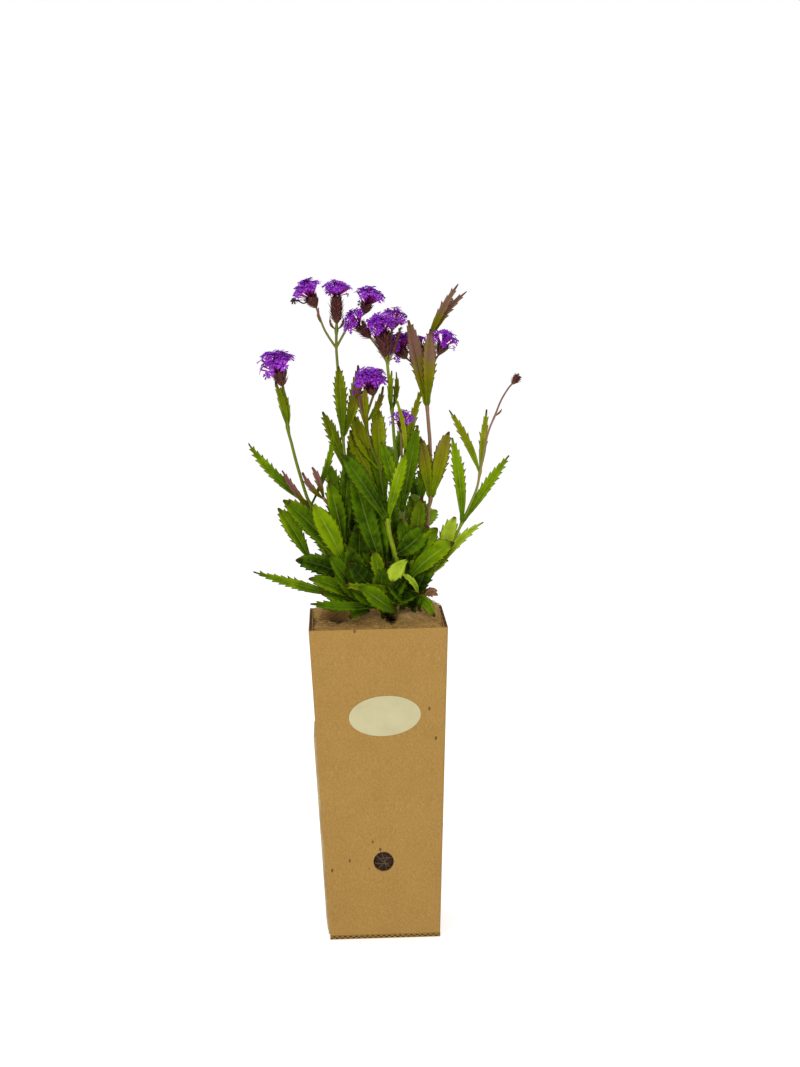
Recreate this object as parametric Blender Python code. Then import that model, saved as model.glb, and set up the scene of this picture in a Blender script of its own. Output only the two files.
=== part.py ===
"""An upright verbena with violet flower heads, growing in a tall tapered box of corrugated board.

Metres, +Z up. The origin is the centre of the box's foot, and -Y is the box's front.
"""

import math
from collections import namedtuple

import bmesh
import bpy
from mathutils import Matrix, Vector

MM = 0.001
GAP = 0.3 * MM

# The box: outside widths at the foot and at the rim, its height and its board
FOOT_WIDTH = 87 * MM
RIM_WIDTH = 108 * MM
BOX_HEIGHT = 250 * MM
BOARD = 3 * MM
PEEP_HOLE_RADIUS = 8 * MM
PEEP_HOLE_HEIGHT = 63 * MM
FLAP_TOP = 165 * MM
FLAP_DEPTH = 62 * MM
FLAP_PROUD = 2 * MM

# The oval sticker on the front wall
LABEL_WIDTH = 56 * MM
LABEL_HEIGHT = 32 * MM
LABEL_THICKNESS = 0.5 * MM
LABEL_CENTRE = (3.5 * MM, 181 * MM)
LABEL_TURN = math.radians(3)

# The soil, the fibre mat on it, and the holes that the stems stand in
SOIL_TOP = BOX_HEIGHT - 14 * MM
MAT_CELLS = 8
STEM_FOOT = BOX_HEIGHT - 26 * MM
STEM_CLEARANCE = 0.6 * MM
MAT_CLEARANCE = 1.2 * MM

# Leaf blades are thickest at the midrib, and folded up along it
RIB_THICKNESS = 1.2 * MM
LEAF_FOLD = 0.22
TOOTH_SPACING = 11 * MM
MOST_TEETH = 4
NARROW_LEAF = 5.2
BROAD_LEAF = 10

# One floret: a tube that opens to five lobes
TUBE_RADIUS = 0.8 * MM
LOBE_REACH = 3.4 * MM
NOTCH_REACH = 1.9 * MM

# The height of one tier of calyx teeth on a flower spike
CALYX_TIER = 4.5 * MM

# The plant was read from one viewpoint, on a plane through the centre of the rim that faces it:
# millimetres across and up from the rim's centre. Each place also has a depth behind that centre.
EYE = Vector((-28.5, -1700, 541)) * MM
LOOK_AT = Vector((19.8, 0, 317)) * MM
RIM_CENTRE = Vector((0, 0, BOX_HEIGHT))
SIGHT = (LOOK_AT - EYE).normalized()
PLANE_RIGHT = SIGHT.cross(Vector((0, 0, 1))).normalized()
PLANE_UP = PLANE_RIGHT.cross(SIGHT)

# A stem stands on its foot (across and depth) and then passes its places (across, depth, height)
Stem = namedtuple("Stem", "foot places width top_width")
Branch = namedtuple("Branch", "places width top_width")
Leaf = namedtuple("Leaf", "base tip width bend roll", defaults=((0, -2, 3), 0))
Head = namedtuple("Head", "base centre reach florets")

SHOOTS = {
    "shoot_left_tall": (
        Stem((-9, 12), [(-17, 12, 60), (-21, 12, 115), (-23, 11, 130), (-24, 10, 146), (-27, 9, 200),
                         (-27.7, 9, 217), (-27, 9, 236)], 2.2, 1.5),
        [Branch([(-27.5, 9, 215), (-34, 8, 225), (-38, 8, 233), (-43, 8, 248)], 1.4, 1.1),
         Branch([(-27.5, 9, 216), (-23.6, 10, 223), (-17, 11, 233), (-5, 12, 242)], 1.4, 1.1)],
        [Leaf((-24, 9, 145), (-26.5, 1, 201), 9),
         Leaf((-23.5, 10, 145), (-10.5, 24, 201.5), 6.5, (3, 2, 0), -30),
         Leaf((-21, 13, 114), (-40, 16, 165), 9),
         Leaf((-21, 13, 114), (-11, 40, 158), 9),
         Leaf((-40, 8, 236), (-41, 4, 248), 2.2, (-1, -1, 0)),
         Leaf((-27.5, 9, 230), (-32, 3, 241), 2.2, (-2, 0, -1)),
         Leaf((-27, 9, 230), (-22, 14, 240), 2.2, (2, 0, -1))],
    ),
    "shoot_centre_tall": (
        Stem((9, 8), [(15, 7, 60), (18, 5, 124), (17, 5, 137), (15.5, 4, 166), (14, 3, 185),
                       (12.4, 2, 205)], 2.2, 1.6),
        [Branch([(12.6, 2, 203), (6, 3, 214), (-0.5, 4, 223)], 1.4, 1.1),
         Branch([(12.5, 2, 203), (16, 9, 216), (17, 12, 229)], 1.3, 1.1),
         Branch([(12.6, 2, 202), (15, -1, 206), (17, -2, 210)], 1.3, 1.1),
         Branch([(12.4, 2, 203), (12, 0, 205.5), (11.8, -1, 208)], 1.6, 1.4)],
        [Leaf((15, 3, 165), (16.2, -1, 196.5), 4.5, (-1, -1, 0)),
         Leaf((16, 4, 165), (19.5, 8, 195.5), 5, (2, 0, 0), -30),
         Leaf((18, 6, 122), (27, 30, 158), 8),
         Leaf((18, 6, 122), (2, 24, 150), 8)],
    ),
    "shoot_right_tall": (
        Stem((28, 5), [(33, 4, 29), (38.9, 3, 59), (41.6, 3, 74), (43, 3, 86), (45, 3, 97), (45.2, 3, 137),
                       (44.6, 3, 150), (43.5, 3, 170), (43, 5, 192)], 2.8, 1.8),
        [Branch([(43, 5, 190), (35, 13, 200), (28, 16, 206)], 1.4, 1.1),
         Branch([(43, 5, 190), (42, 11, 198), (41, 14, 205)], 1.3, 1.1),
         Branch([(43, 5, 190), (48.5, 4, 201), (53.5, 2, 208)], 1.4, 1.1),
         Branch([(43.5, 4, 171), (47, 14, 200), (50, 19, 223)], 1.8, 1.3)],
        [Leaf((44, 2, 96), (37, -3, 143.5), 9),
         Leaf((46, 2, 96), (60.6, -2, 147), 10.5),
         Leaf((43, 2, 169), (30, 5, 236.5), 9),
         Leaf((44, 2, 169), (47.7, -6, 229), 8.5),
         Leaf((50, 19, 221), (70.7, 18, 264.5), 5, (-1, 0, 2)),
         Leaf((50, 19, 221), (77.4, 24, 258.3), 5, (-2, 0, 2)),
         Leaf((41.6, 4, 74), (46, 40, 100), 9),
         Leaf((41.4, 4, 74), (32, 38, 108), 9)],
    ),
    "shoot_right_arching": (
        Stem((33, -8), [(40, -7, 29), (52.7, -8, 41), (60, -8, 55), (69.6, -8, 74.6), (77, -8, 90),
                        (82, -8, 102), (84.6, -8, 114), (91, -8, 143), (98, -8, 160), (102.7, -8, 171),
                        (108.4, -8, 180), (112, -8, 184)], 2.2, 1.2),
        [],
        [Leaf((84.6, -8, 113), (60.9, -10, 164), 6, (1, 0, 2)),
         Leaf((84.6, -8, 113), (91, -5, 164), 5.8, (0, 0, 0)),
         Leaf((69.4, -9, 74), (62.8, -16, 142), 9, (2, -2, 0)),
         Leaf((69.6, -8, 74), (108, -4, 127), 8, (1, 0, 2)),
         Leaf((52.7, -9, 41), (86.6, -16, 74), 6, (-2, -2, 3)),
         Leaf((52.7, -8, 41), (64, -2, 78), 11, (-2, 2, 3)),
         Leaf((97, -8, 158), (103, -8, 164), 1.6, (1, 0, 0))],
    ),
    "shoot_left_leaning": (
        Stem((-14, -1), [(-20, -2, 16), (-36, -2, 42), (-48, -3, 78), (-51, -3, 91), (-54, -3, 98), (-61, -4, 123),
                         (-65, -4, 140), (-67.8, -4, 153), (-71, -4, 186)], 2.3, 1.5),
        [],
        [Leaf((-67.8, -4, 152), (-77, -8, 190), 6, (1, 0, 0)),
         Leaf((-67.6, -4, 152), (-70, 2, 182), 4.5, (1, 0, 0)),
         Leaf((-51, -3, 90), (-99.5, -8, 141), 7.5, (-4, 0, 0)),
         Leaf((-51, -3, 90), (-31, 4, 156), 6, (4, 2, 0), 45),
         Leaf((-71, -4, 182), (-77, -9, 190), 2.2, (-2, 0, -1)),
         Leaf((-49, -4, 84), (-73, -10, 119), 5, (-3, 0, 2))],
    ),
    "shoot_middle": (
        Stem((7, 23), [(10, 24, 80), (6, 22, 104), (5, 20, 118), (1, 18, 129), (-3, 16, 141), (-5, 14, 158),
                       (1, 12, 177)], 2.2, 1.4),
        [],
        [Leaf((-5, 14, 156), (-6, 6, 182), 4),
         Leaf((-5, 14, 156), (9, 20, 184), 4, (2, 0, -2)),
         Leaf((5, 20, 118), (-16, 24, 164), 13, (-3, 0, 0)),
         Leaf((5, 20, 118), (12, 38, 160), 12)],
    ),
    "shoot_front": (
        Stem((21, -17), [(21, -18, 30), (19, -19, 46), (16.4, -19, 55), (13, -19, 66), (11, -19, 79)],
             3.0, 2.2),
        [],
        [Leaf((11, -19.5, 77), (-26, -40, 131), 15, (-2, -5, 5)),
         Leaf((11.5, -19, 77), (29, -26, 130), 10, (0, -2, 3)),
         Leaf((21, -19, 24), (-27, -46, 27), 8, (0, -10, 3)),
         Leaf((22, -19, 12), (-13, -44, 25), 11, (0, -10, 4))],
    ),
    "shoot_inner": (
        Stem((19, -6), [(22, -5, 60), (23.6, -5, 84), (25, -4, 120), (26.2, -4, 147)], 2.0, 1.3),
        [],
        [Leaf((24, -6, 84), (38.8, -14, 152), 9.5),
         Leaf((23, -6, 88), (9, -13, 139.5), 9),
         Leaf((25, -4, 122), (21.5, 8, 178), 3.6, (-3, 0, 0)),
         Leaf((25.4, -4, 122), (41, 12, 185), 5, (-2, 6, 0))],
    ),
    "shoot_young": (
        Stem((-8, -8), [(-14, -8, 35), (-25, -11, 65), (-30, -11, 79), (-41, -11, 97)], 1.5, 1.2),
        [],
        [Leaf((-40, -11, 95), (-57, -15, 117), 5, (-2, 0, -1)),
         Leaf((-40, -11, 95), (-49, -8, 121), 5)],
    ),
    "leaves_left": (
        Stem((-6, -18), [(-13, -18, 14), (-24, -19, 42), (-25, -18, 60)], 2.6, 2.0),
        [Branch([(-8.5, -18, 9), (-28, -12, 18), (-40, -10, 36), (-47, -10, 46)], 2.0, 1.6)],
        [Leaf((-13, -19, 14), (-54, -30, 32), 14),
         Leaf((-15, -19, 16), (-37, -38, 50), 13),
         Leaf((-24, -19, 41), (-49, -30, 91), 17),
         Leaf((-24, -19, 42), (-73, -24, 95), 18, (-2, 0, 6)),
         Leaf((-22, -18, 34), (-64, -24, 47), 15),
         Leaf((-25, -18, 58), (-36, -22, 110), 14),
         Leaf((-25, -18, 58), (-20, -12, 126), 12),
         Leaf((-28, -12, 18), (-98, -8, 38.5), 7, (2, 0, 1)),
         Leaf((-47, -10, 45), (-76, -12, 89), 9.5)],
    ),
    "leaves_front": (
        Stem((4, -28), [(5, -28, 14), (6, -27, 25), (8, -26, 38)], 2.6, 2.2),
        [],
        [Leaf((5, -28, 10), (-53, -46, 12), 9, (0, -4, -1)),
         Leaf((6, -27, 25), (-1, -40, 52), 10),
         Leaf((7, -25, 36), (-17, -20, 122), 18, (-2, 2, 0)),
         Leaf((8, -26, 37), (-2, -48, 100), 16, (0, -5, 3)),
         Leaf((5, -28, 8), (-24, -36, 38), 13, (0, -2, 4)),
         Leaf((5, -28, 14), (-14, -48, 2), 10, (0, -3, 4))],
    ),
    "leaves_right": (
        Stem((29, -23), [(29, -24, 15), (29, -24, 32), (30, -22, 45)], 2.8, 2.2),
        [],
        [Leaf((29, -24, 31), (63, -28, 58), 16),
         Leaf((30, -23, 43), (50, -24, 69), 12),
         Leaf((30, -22, 43), (46, -14, 74), 15, (0, 2, 3)),
         Leaf((30, -22, 44), (39, -24, 96), 12),
         Leaf((29, -25, 16), (45, -40, 4), 7, (0, -4, 4)),
         Leaf((29, -25, 18), (16, -33, 42), 12, (-2, -2, -2)),
         Leaf((29, -24, 14), (48, -34, 19), 6, (0, -2, 3)),
         Leaf((30, -22, 36), (19, -26, 76), 13, (0, 0, 3)),
         Leaf((29, -24, 16), (10, -50, 5), 13, (0, -3, 4))],
    ),
    "leaves_back_left": (
        Stem((-12, 30), [(-20, 36, 30), (-24, 40, 60), (-26, 42, 85)], 2.6, 2.0),
        [],
        [Leaf((-20, 36, 29), (-56, 62, 40), 14, (0, 4, 4)),
         Leaf((-20, 36, 29), (4, 66, 46), 14, (0, 4, 4)),
         Leaf((-24, 40, 59), (-62, 44, 92), 13, (0, 2, 5)),
         Leaf((-24, 40, 59), (-14, 76, 84), 14, (0, 4, 5)),
         Leaf((-26, 42, 84), (-38, 56, 124), 11, (0, 2, 3)),
         Leaf((-26, 42, 84), (-18, 34, 128), 11)],
    ),
    "leaves_back_right": (
        Stem((22, 30), [(30, 36, 30), (34, 41, 62), (35, 43, 88)], 2.6, 2.0),
        [],
        [Leaf((30, 36, 29), (58, 62, 44), 13, (0, 4, 4)),
         Leaf((30, 36, 29), (12, 66, 40), 13, (0, 4, 4)),
         Leaf((34, 41, 61), (50, 66, 84), 12, (0, 2, 5)),
         Leaf((34, 41, 61), (22, 76, 88), 14, (0, 4, 5)),
         Leaf((35, 43, 87), (44, 60, 126), 11, (0, 2, 3)),
         Leaf((35, 43, 87), (22, 44, 130), 10)],
    ),
}

HEADS = {
    "A": Head((-43, 8, 248), (-49, 7, 264), 11.5, 12),
    "B": Head((-27, 9, 236), (-25, 8, 262), 11.5, 13),
    "C": Head((-5, 12, 242), (-1, 12, 256), 11.5, 12),
    "D": Head((-0.5, 4, 223), (-11.5, 2, 239), 10, 11),
    "E": Head((11.8, -1, 208), (9, -7, 234), 9.5, 11),
    "F": Head((17, -2, 210), (28, -8, 235), 6, 6),
    "F2": Head((17, 12, 229), (19, 16, 240), 7, 6),
    "G": Head((28, 16, 206), (23, 15, 215), 9.5, 10),
    "H": Head((41, 14, 205), (40, 17, 222), 8, 7),
    "I": Head((53.5, 2, 208), (59, 0, 220), 10.5, 11),
    "J": Head((1, 12, 177), (-1, 9, 190), 13, 14),
    "K": Head((-71, -4, 186), (-75, -6, 206), 14, 15),
    "L": Head((26.2, -4, 147), (26.5, -5, 158), 8.5, 8),
    "M": Head((112, -8, 184), (117, -8, 190), 4, 0),
}


def seen(across, depth, height):
    """The point at this depth on the line of sight through a place on the picture plane."""
    place = RIM_CENTRE + (PLANE_RIGHT * across + PLANE_UP * height) * MM
    along = (depth * MM - EYE.y) / (place.y - EYE.y)
    return EYE + (place - EYE) * along


def clear_scene():
    for thing in list(bpy.data.objects):
        bpy.data.objects.remove(thing, do_unlink=True)


def surface(name, colour, roughness):
    material = bpy.data.materials.new(name)
    material.use_nodes = True
    shader = material.node_tree.nodes["Principled BSDF"]
    shader.inputs["Base Color"].default_value = (*colour, 1)
    shader.inputs["Roughness"].default_value = roughness
    shader.inputs["Metallic"].default_value = 0
    return material


def solid(name, points, faces, material=None):
    """An object from points and faces, with every face turned to point out."""
    mesh = bpy.data.meshes.new(name)
    mesh.from_pydata([tuple(p) for p in points], [], faces)
    shape = bmesh.new()
    shape.from_mesh(mesh)
    bmesh.ops.recalc_face_normals(shape, faces=shape.faces[:])
    shape.to_mesh(mesh)
    shape.free()
    thing = bpy.data.objects.new(name, mesh)
    bpy.context.scene.collection.objects.link(thing)
    if material:
        mesh.materials.append(material)
    return thing


def rings_solid(name, rings, material=None):
    """A closed solid through rings of equally many points, flat at both ends."""
    sides = len(rings[0])
    points = [p for ring in rings for p in ring]
    faces = [tuple(range(sides)), tuple(range(len(points) - sides, len(points)))]
    for start in range(0, len(points) - sides, sides):
        for i in range(sides):
            j = (i + 1) % sides
            faces.append((start + i, start + j, start + sides + j, start + sides + i))
    return solid(name, points, faces, material)


def boolean(thing, operation, solver="EXACT", tool=None, group=None):
    """Applies one Boolean with another object, or with all the objects of a collection."""
    change = thing.modifiers.new(operation.lower(), "BOOLEAN")
    change.operation = operation
    change.solver = solver
    if group:
        change.operand_type = "COLLECTION"
        change.collection = group
    else:
        change.object = tool
    bpy.context.view_layer.update()
    result = bpy.data.meshes.new_from_object(thing.evaluated_get(bpy.context.evaluated_depsgraph_get()))
    thing.modifiers.clear()
    thing.data = result


def collect(name, pieces):
    group = bpy.data.collections.new(name)
    bpy.context.scene.collection.children.link(group)
    for piece in pieces:
        group.objects.link(piece)
    return group


def discard(group):
    for piece in list(group.objects):
        bpy.data.objects.remove(piece, do_unlink=True)
    bpy.data.collections.remove(group)


def fuse(name, pieces, material):
    """One body out of pieces whose roots are sunk into each other."""
    body = pieces[0]
    group = collect(name + "_repeats", pieces[1:])
    boolean(body, "UNION", "MANIFOLD", group=group)
    discard(group)
    body.name = name
    body.data.materials.clear()
    body.data.materials.append(material)
    return body


def cut(body, cutters):
    group = collect(body.name + "_cutters", cutters)
    for cutter in cutters:
        cutter.hide_render = True
        cutter.display_type = "WIRE"
    boolean(body, "DIFFERENCE", "MANIFOLD", group=group)
    discard(group)


def square(half, height):
    return [Vector((x * half, y * half, height)) for x, y in ((-1, -1), (1, -1), (1, 1), (-1, 1))]


def half_width(height, inset=0.0):
    """Half the box's width at a height, less an inset."""
    share = height / BOX_HEIGHT
    return (FOOT_WIDTH + (RIM_WIDTH - FOOT_WIDTH) * share) / 2 - inset


def front_point(across, height, proud):
    """A point on the front wall, and out of it by proud."""
    lean = math.atan2((RIM_WIDTH - FOOT_WIDTH) / 2, BOX_HEIGHT)
    out = Vector((0, -math.cos(lean), -math.sin(lean)))
    return Vector((across, -half_width(height), height)) + out * proud


def round_prism(name, start, end, radius, sides=24):
    """A round bar between two points."""
    axis = (end - start).normalized()
    turn = axis.to_track_quat("Z", "Y").to_matrix()
    rings = []
    for centre in (start, end):
        angles = [math.tau * i / sides for i in range(sides)]
        rings.append([centre + turn @ Vector((math.cos(a), math.sin(a), 0)) * radius for a in angles])
    return rings_solid(name, rings)


def make_carton(material):
    """Four tapered walls from one folded sheet, with the peep hole and the glued flap."""
    low = BOARD + GAP
    walls = rings_solid("carton", [square(half_width(low), low), square(half_width(BOX_HEIGHT), BOX_HEIGHT)])
    over = 5 * MM
    inside = rings_solid("inside", [square(half_width(low - over, BOARD), low - over),
                                    square(half_width(BOX_HEIGHT + over, BOARD), BOX_HEIGHT + over)])
    hole = round_prism("hole", front_point(0, PEEP_HOLE_HEIGHT, over), front_point(0, PEEP_HOLE_HEIGHT, -over),
                       PEEP_HOLE_RADIUS)
    cut(walls, [inside, hole])
    rings = []
    for height in (low, FLAP_TOP):
        wall = half_width(height)
        front = -wall + BOARD
        rings.append([Vector((-wall - FLAP_PROUD, front, height)), Vector((-wall + BOARD / 2, front, height)),
                      Vector((-wall + BOARD / 2, front + FLAP_DEPTH, height)),
                      Vector((-wall - FLAP_PROUD, front + FLAP_DEPTH, height))])
    flap = rings_solid("flap", rings)
    return fuse("carton", [walls, flap], material)


def make_carton_floor(material):
    half = half_width(BOARD)
    return rings_solid("carton_floor", [square(half, 0), square(half, BOARD)], material)


def make_label(material, sides=32):
    """The oval sticker, a little turned, on the front wall."""
    rings = []
    for proud in (GAP, GAP + LABEL_THICKNESS):
        ring = []
        for i in range(sides):
            angle = math.tau * i / sides
            place = Vector((math.cos(angle) * LABEL_WIDTH / 2, math.sin(angle) * LABEL_HEIGHT / 2))
            place.rotate(Matrix.Rotation(LABEL_TURN, 2))
            ring.append(front_point(LABEL_CENTRE[0] + place.x, LABEL_CENTRE[1] + place.y, proud))
        rings.append(ring)
    return rings_solid("label", rings, material)


def stem_holes(bottom, top, clearance):
    """One upright six-sided cutter for each stem's foot."""
    cutters = []
    for name, (stem, _, _) in SHOOTS.items():
        across, depth = stem.foot
        radius = stem.width * MM * math.sqrt(0.5) + clearance
        start = Vector((across * MM, depth * MM, bottom))
        end = Vector((across * MM, depth * MM, top))
        cutters.append(round_prism(name + "_hole", start, end, radius, 6))
    return cutters


def make_root_ball(material):
    """The soil that fills the box, with a plain hole under each stem."""
    low = BOARD + GAP
    inset = BOARD + GAP
    ball = rings_solid("root_ball", [square(half_width(low, inset), low),
                                     square(half_width(SOIL_TOP, inset), SOIL_TOP)], material)
    cut(ball, stem_holes(STEM_FOOT - GAP, SOIL_TOP + BOARD, STEM_CLEARANCE))
    return ball


def mat_height(x, y):
    """The mat's top: it swells to the rim at the back and right, with a hollow and a slit in front."""
    swell = 5 * math.exp(-((y - 30) / 30) ** 2) - 1.5
    hump = 7 * math.exp(-((x - 46) / 9) ** 2 - ((y + 10) / 24) ** 2)
    hollow = -5 * math.exp(-((x + 28) / 10) ** 2 - ((y + 34) / 14) ** 2)
    slit = -6 * math.exp(-((x - 12) / 5) ** 2 - ((y + 46) / 12) ** 2)
    fall = -5 * math.exp(-((50 - max(abs(x), abs(y))) / 4) ** 2)
    ripple = 0.8 * math.sin(x * 0.21 + 1) * math.cos(y * 0.17)
    return BOX_HEIGHT + (swell + hump + hollow + slit + fall + ripple) * MM


def make_mulch_mat(material):
    """The felted fibre mat that lies on the soil, with a hole round each stem."""
    low = SOIL_TOP + GAP
    half = half_width(low, BOARD + 1.5 * GAP)
    count = MAT_CELLS + 1
    points = []
    for row in range(count):
        for column in range(count):
            x = -half + 2 * half * column / MAT_CELLS
            y = -half + 2 * half * row / MAT_CELLS
            points.append(Vector((x, y, mat_height(x / MM, y / MM))))
    faces = []
    for row in range(MAT_CELLS):
        for column in range(MAT_CELLS):
            a = row * count + column
            faces.append((a, a + 1, a + count + 1))
            faces.append((a, a + count + 1, a + count))
    edge = list(range(count)) + [row * count + count - 1 for row in range(1, count)]
    edge += [count * count - 1 - i for i in range(1, count)] + [row * count for row in range(count - 2, 0, -1)]
    first = len(points)
    points += [Vector((points[i].x, points[i].y, low)) for i in edge]
    under = list(range(first, len(points)))
    faces.append(tuple(under))
    for i, top in enumerate(edge):
        j = (i + 1) % len(edge)
        faces.append((top, edge[j], under[j], under[i]))
    mat = solid("mulch_mat", points, faces, material)
    cut(mat, stem_holes(low - BOARD, BOX_HEIGHT + 20 * MM, MAT_CLEARANCE))
    return mat


def stalk(places, width, top_width):
    """A square stem through its places, thinner towards the top."""
    lengths = [0.0]
    for a, b in zip(places, places[1:]):
        lengths.append(lengths[-1] + (b - a).length)
    rings = []
    for i, place in enumerate(places):
        ahead = places[min(i + 1, len(places) - 1)] - places[max(i - 1, 0)]
        side = ahead.cross(Vector((0, 1, 0))).normalized()
        front = side.cross(ahead).normalized()
        share = lengths[i] / lengths[-1]
        reach = (width + (top_width - width) * share) * MM * math.sqrt(0.5)
        rings.append([place + side * reach, place + front * reach, place - side * reach, place - front * reach])
    return rings_solid("stalk", rings)


def stem_places(stem):
    """The stem's foot, upright in its hole, then the places read for it."""
    x, y = stem.foot[0] * MM, stem.foot[1] * MM
    foot = [Vector((x, y, STEM_FOOT)), Vector((x, y, BOX_HEIGHT + 6 * MM))]
    return foot + [seen(*place) for place in stem.places]


def leaf_outline(share, width):
    """Half the leaf's width at a share of its length, as part of its full half width."""
    power = 1.15 if width > BROAD_LEAF else 0.95
    return max(0.3, math.sin(math.pi * share ** power) ** 0.95)


def leaf_blade(leaf):
    """A toothed blade, folded up along its midrib and bent in its length."""
    base, tip = seen(*leaf.base), seen(*leaf.tip)
    chord = tip - base
    middle = (base + tip) / 2 + Vector(leaf.bend) * MM
    along = chord.normalized()
    face = Vector((0, -0.85, 0.5))
    face = (face - along * face.dot(along)).normalized()
    face.rotate(Matrix.Rotation(math.radians(leaf.roll), 3, along))
    teeth = max(2, min(MOST_TEETH, round(chord.length / TOOTH_SPACING)))
    if leaf.width < NARROW_LEAF:
        teeth = 2
    rows = 2 * teeth + 1
    points, faces = [], []
    for row in range(rows):
        share = row / rows
        spot = base * (1 - share) * (1 - 2 * share) + middle * 4 * share * (1 - share)
        spot += tip * share * (2 * share - 1)
        ahead = base * (4 * share - 3) + middle * (4 - 8 * share) + tip * (4 * share - 1)
        ahead.normalize()
        up = (face - ahead * face.dot(ahead)).normalized()
        side = ahead.cross(up)
        tooth = row % 2 == 0 and row > 0
        reach = leaf.width / 2 * MM * leaf_outline(share, leaf.width) * (1.1 if tooth else 0.84)
        lean = ahead * (chord.length / rows * 0.35 if tooth else 0)
        rise = up * reach * LEAF_FOLD
        points += [spot, spot - up * RIB_THICKNESS * min(1, leaf.width / 5),
                   spot - side * reach + rise + lean, spot + side * reach + rise + lean]
    points.append(tip)
    for row in range(rows - 1):
        top, under, left, right = range(4 * row, 4 * row + 4)
        faces += [(top, top + 4, left + 4), (top, left + 4, left), (top, right + 4, top + 4),
                  (top, right, right + 4), (under, left + 4, under + 4), (under, left, left + 4),
                  (under, under + 4, right + 4), (under, right + 4, right)]
    top, under, left, right = range(4 * rows - 4, 4 * rows)
    end = 4 * rows
    faces += [(top, end, left), (top, right, end), (under, left, end), (under, end, right)]
    faces += [(2, 0, 1), (0, 3, 1)]
    return solid("leaf", points, faces)


def make_shoot(name, material):
    """A leafy stem: the stalk, its branches and its leaves in one body."""
    stem, branches, leaves = SHOOTS[name]
    pieces = [stalk(stem_places(stem), stem.width, stem.top_width)]
    for branch in branches:
        pieces.append(stalk([seen(*p) for p in branch.places], branch.width, branch.top_width))
    pieces += [leaf_blade(leaf) for leaf in leaves]
    return fuse(name, pieces, material)


def head_frame(head):
    """Where the spike starts, where its florets start, and the axes along and across it."""
    base, centre = seen(*head.base), seen(*head.centre)
    along = (centre - base).normalized()
    neck = centre - along * head.reach * 0.3 * MM
    side = along.cross(Vector((0, 1, 0))).normalized()
    return base, neck, along, side, along.cross(side)


def make_spike(name, head, material):
    """The bristly calyx spike: tiers of four pointed calyx teeth that stand up and out of a slim core."""
    base, neck, along, side, across = head_frame(head)
    start = base + along * GAP * 2
    length = (neck - start).length
    core = max(2.2, head.reach * 0.3) * MM
    tiers = max(2, round(length / CALYX_TIER))
    step = length / (tiers + 0.3)
    rings = []

    def ring(radii, heights, turn):
        points = []
        for i in range(8):
            angle = math.tau * i / 8 + turn
            out = side * math.cos(angle) + across * math.sin(angle)
            points.append(start + along * heights[i % 2] + out * core * radii[i % 2])
        rings.append(points)

    for tier in range(tiers):
        low = step * tier
        size = 0.62 + 0.3 * math.sin(math.pi * (tier + 0.6) / (tiers + 0.6))
        turn = math.pi / 4 * (tier % 2)
        ring((size, size), (low, low), turn)
        ring((size + 0.6, size + 0.1), (low + step * 1.25, low + step * 0.5), turn)
    ring((0.7, 0.7), (length, length), turn)
    return rings_solid("spike_" + name, rings, material)


def floret(root, out, side, reach):
    """A slim three-sided tube from its root that opens to a disc of five lobes."""
    across = out.cross(side)
    points = [root]
    for i in range(3):
        angle = math.tau * i / 3
        ring = side * math.cos(angle) + across * math.sin(angle)
        points.append(root + out * (reach - 1.2 * MM) + ring * TUBE_RADIUS)
    for i in range(10):
        angle = math.tau * i / 10
        ring = side * math.cos(angle) + across * math.sin(angle)
        lobe = i % 2 == 0
        size = LOBE_REACH if lobe else NOTCH_REACH
        points.append(root + out * (reach + (0.4 * MM if lobe else 0)) + ring * size)
    points.append(root + out * (reach - 0.4 * MM))
    faces = [(0, 1, 2), (0, 2, 3), (0, 3, 1)]
    for i in range(10):
        j = (i + 1) % 10
        throat, next_throat = 1 + round(i * 0.3) % 3, 1 + round((i + 1) * 0.3) % 3
        faces += [(4 + i, 4 + j, throat), (4 + i, 4 + j, 14)]
        if throat != next_throat:
            faces.append((throat, 4 + j, next_throat))
    return solid("floret", points, faces)


def make_florets(name, head, material):
    """The open florets: a small core on the spike's end, and tubes that stand out of it all round."""
    base, neck, along, side, across = head_frame(head)
    foot = neck + along * GAP
    core = max(2.2, head.reach * 0.3) * MM
    rings = []
    for height, size in ((0, 0.8), (0.5, 1.0), (1.1, 0.6)):
        angles = [math.tau * i / 6 for i in range(6)]
        rings.append([foot + along * core * height
                      + (side * math.cos(a) + across * math.sin(a)) * core * size for a in angles])
    pieces = [rings_solid("core", rings)]
    root = foot + along * core * 0.75
    reach = head.reach * MM - LOBE_REACH * 0.5
    for i in range(head.florets):
        share = (i + 0.5) / head.florets
        polar = math.acos(1 - 1.12 * share)
        turn = i * math.pi * (3 - math.sqrt(5))
        ring = side * math.cos(turn) + across * math.sin(turn)
        out = along * math.cos(polar) + ring * math.sin(polar)
        edge = out.cross(Vector((0.3, 1, 0.1))).normalized()
        pieces.append(floret(root, out, edge, reach * (1 if i % 2 else 0.88)))
    return fuse("florets_" + name, pieces, material)


def build():
    clear_scene()
    board = surface("corrugated_board", (0.42, 0.25, 0.07), 0.85)
    paper = surface("label_paper", (0.82, 0.78, 0.66), 0.6)
    soil = surface("soil", (0.05, 0.03, 0.018), 0.95)
    felt = surface("mulch_fibre", (0.2, 0.11, 0.05), 0.95)
    green = surface("leaf_green", (0.13, 0.22, 0.02), 0.55)
    calyx = surface("calyx", (0.07, 0.03, 0.035), 0.7)
    violet = surface("floret_violet", (0.24, 0.04, 0.42), 0.5)
    make_carton(board)
    make_carton_floor(board)
    make_label(paper)
    make_root_ball(soil)
    make_mulch_mat(felt)
    for name in SHOOTS:
        make_shoot(name, green)
    for name, head in HEADS.items():
        make_spike(name, head, calyx)
        if head.florets:
            make_florets(name, head, violet)


build()
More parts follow.
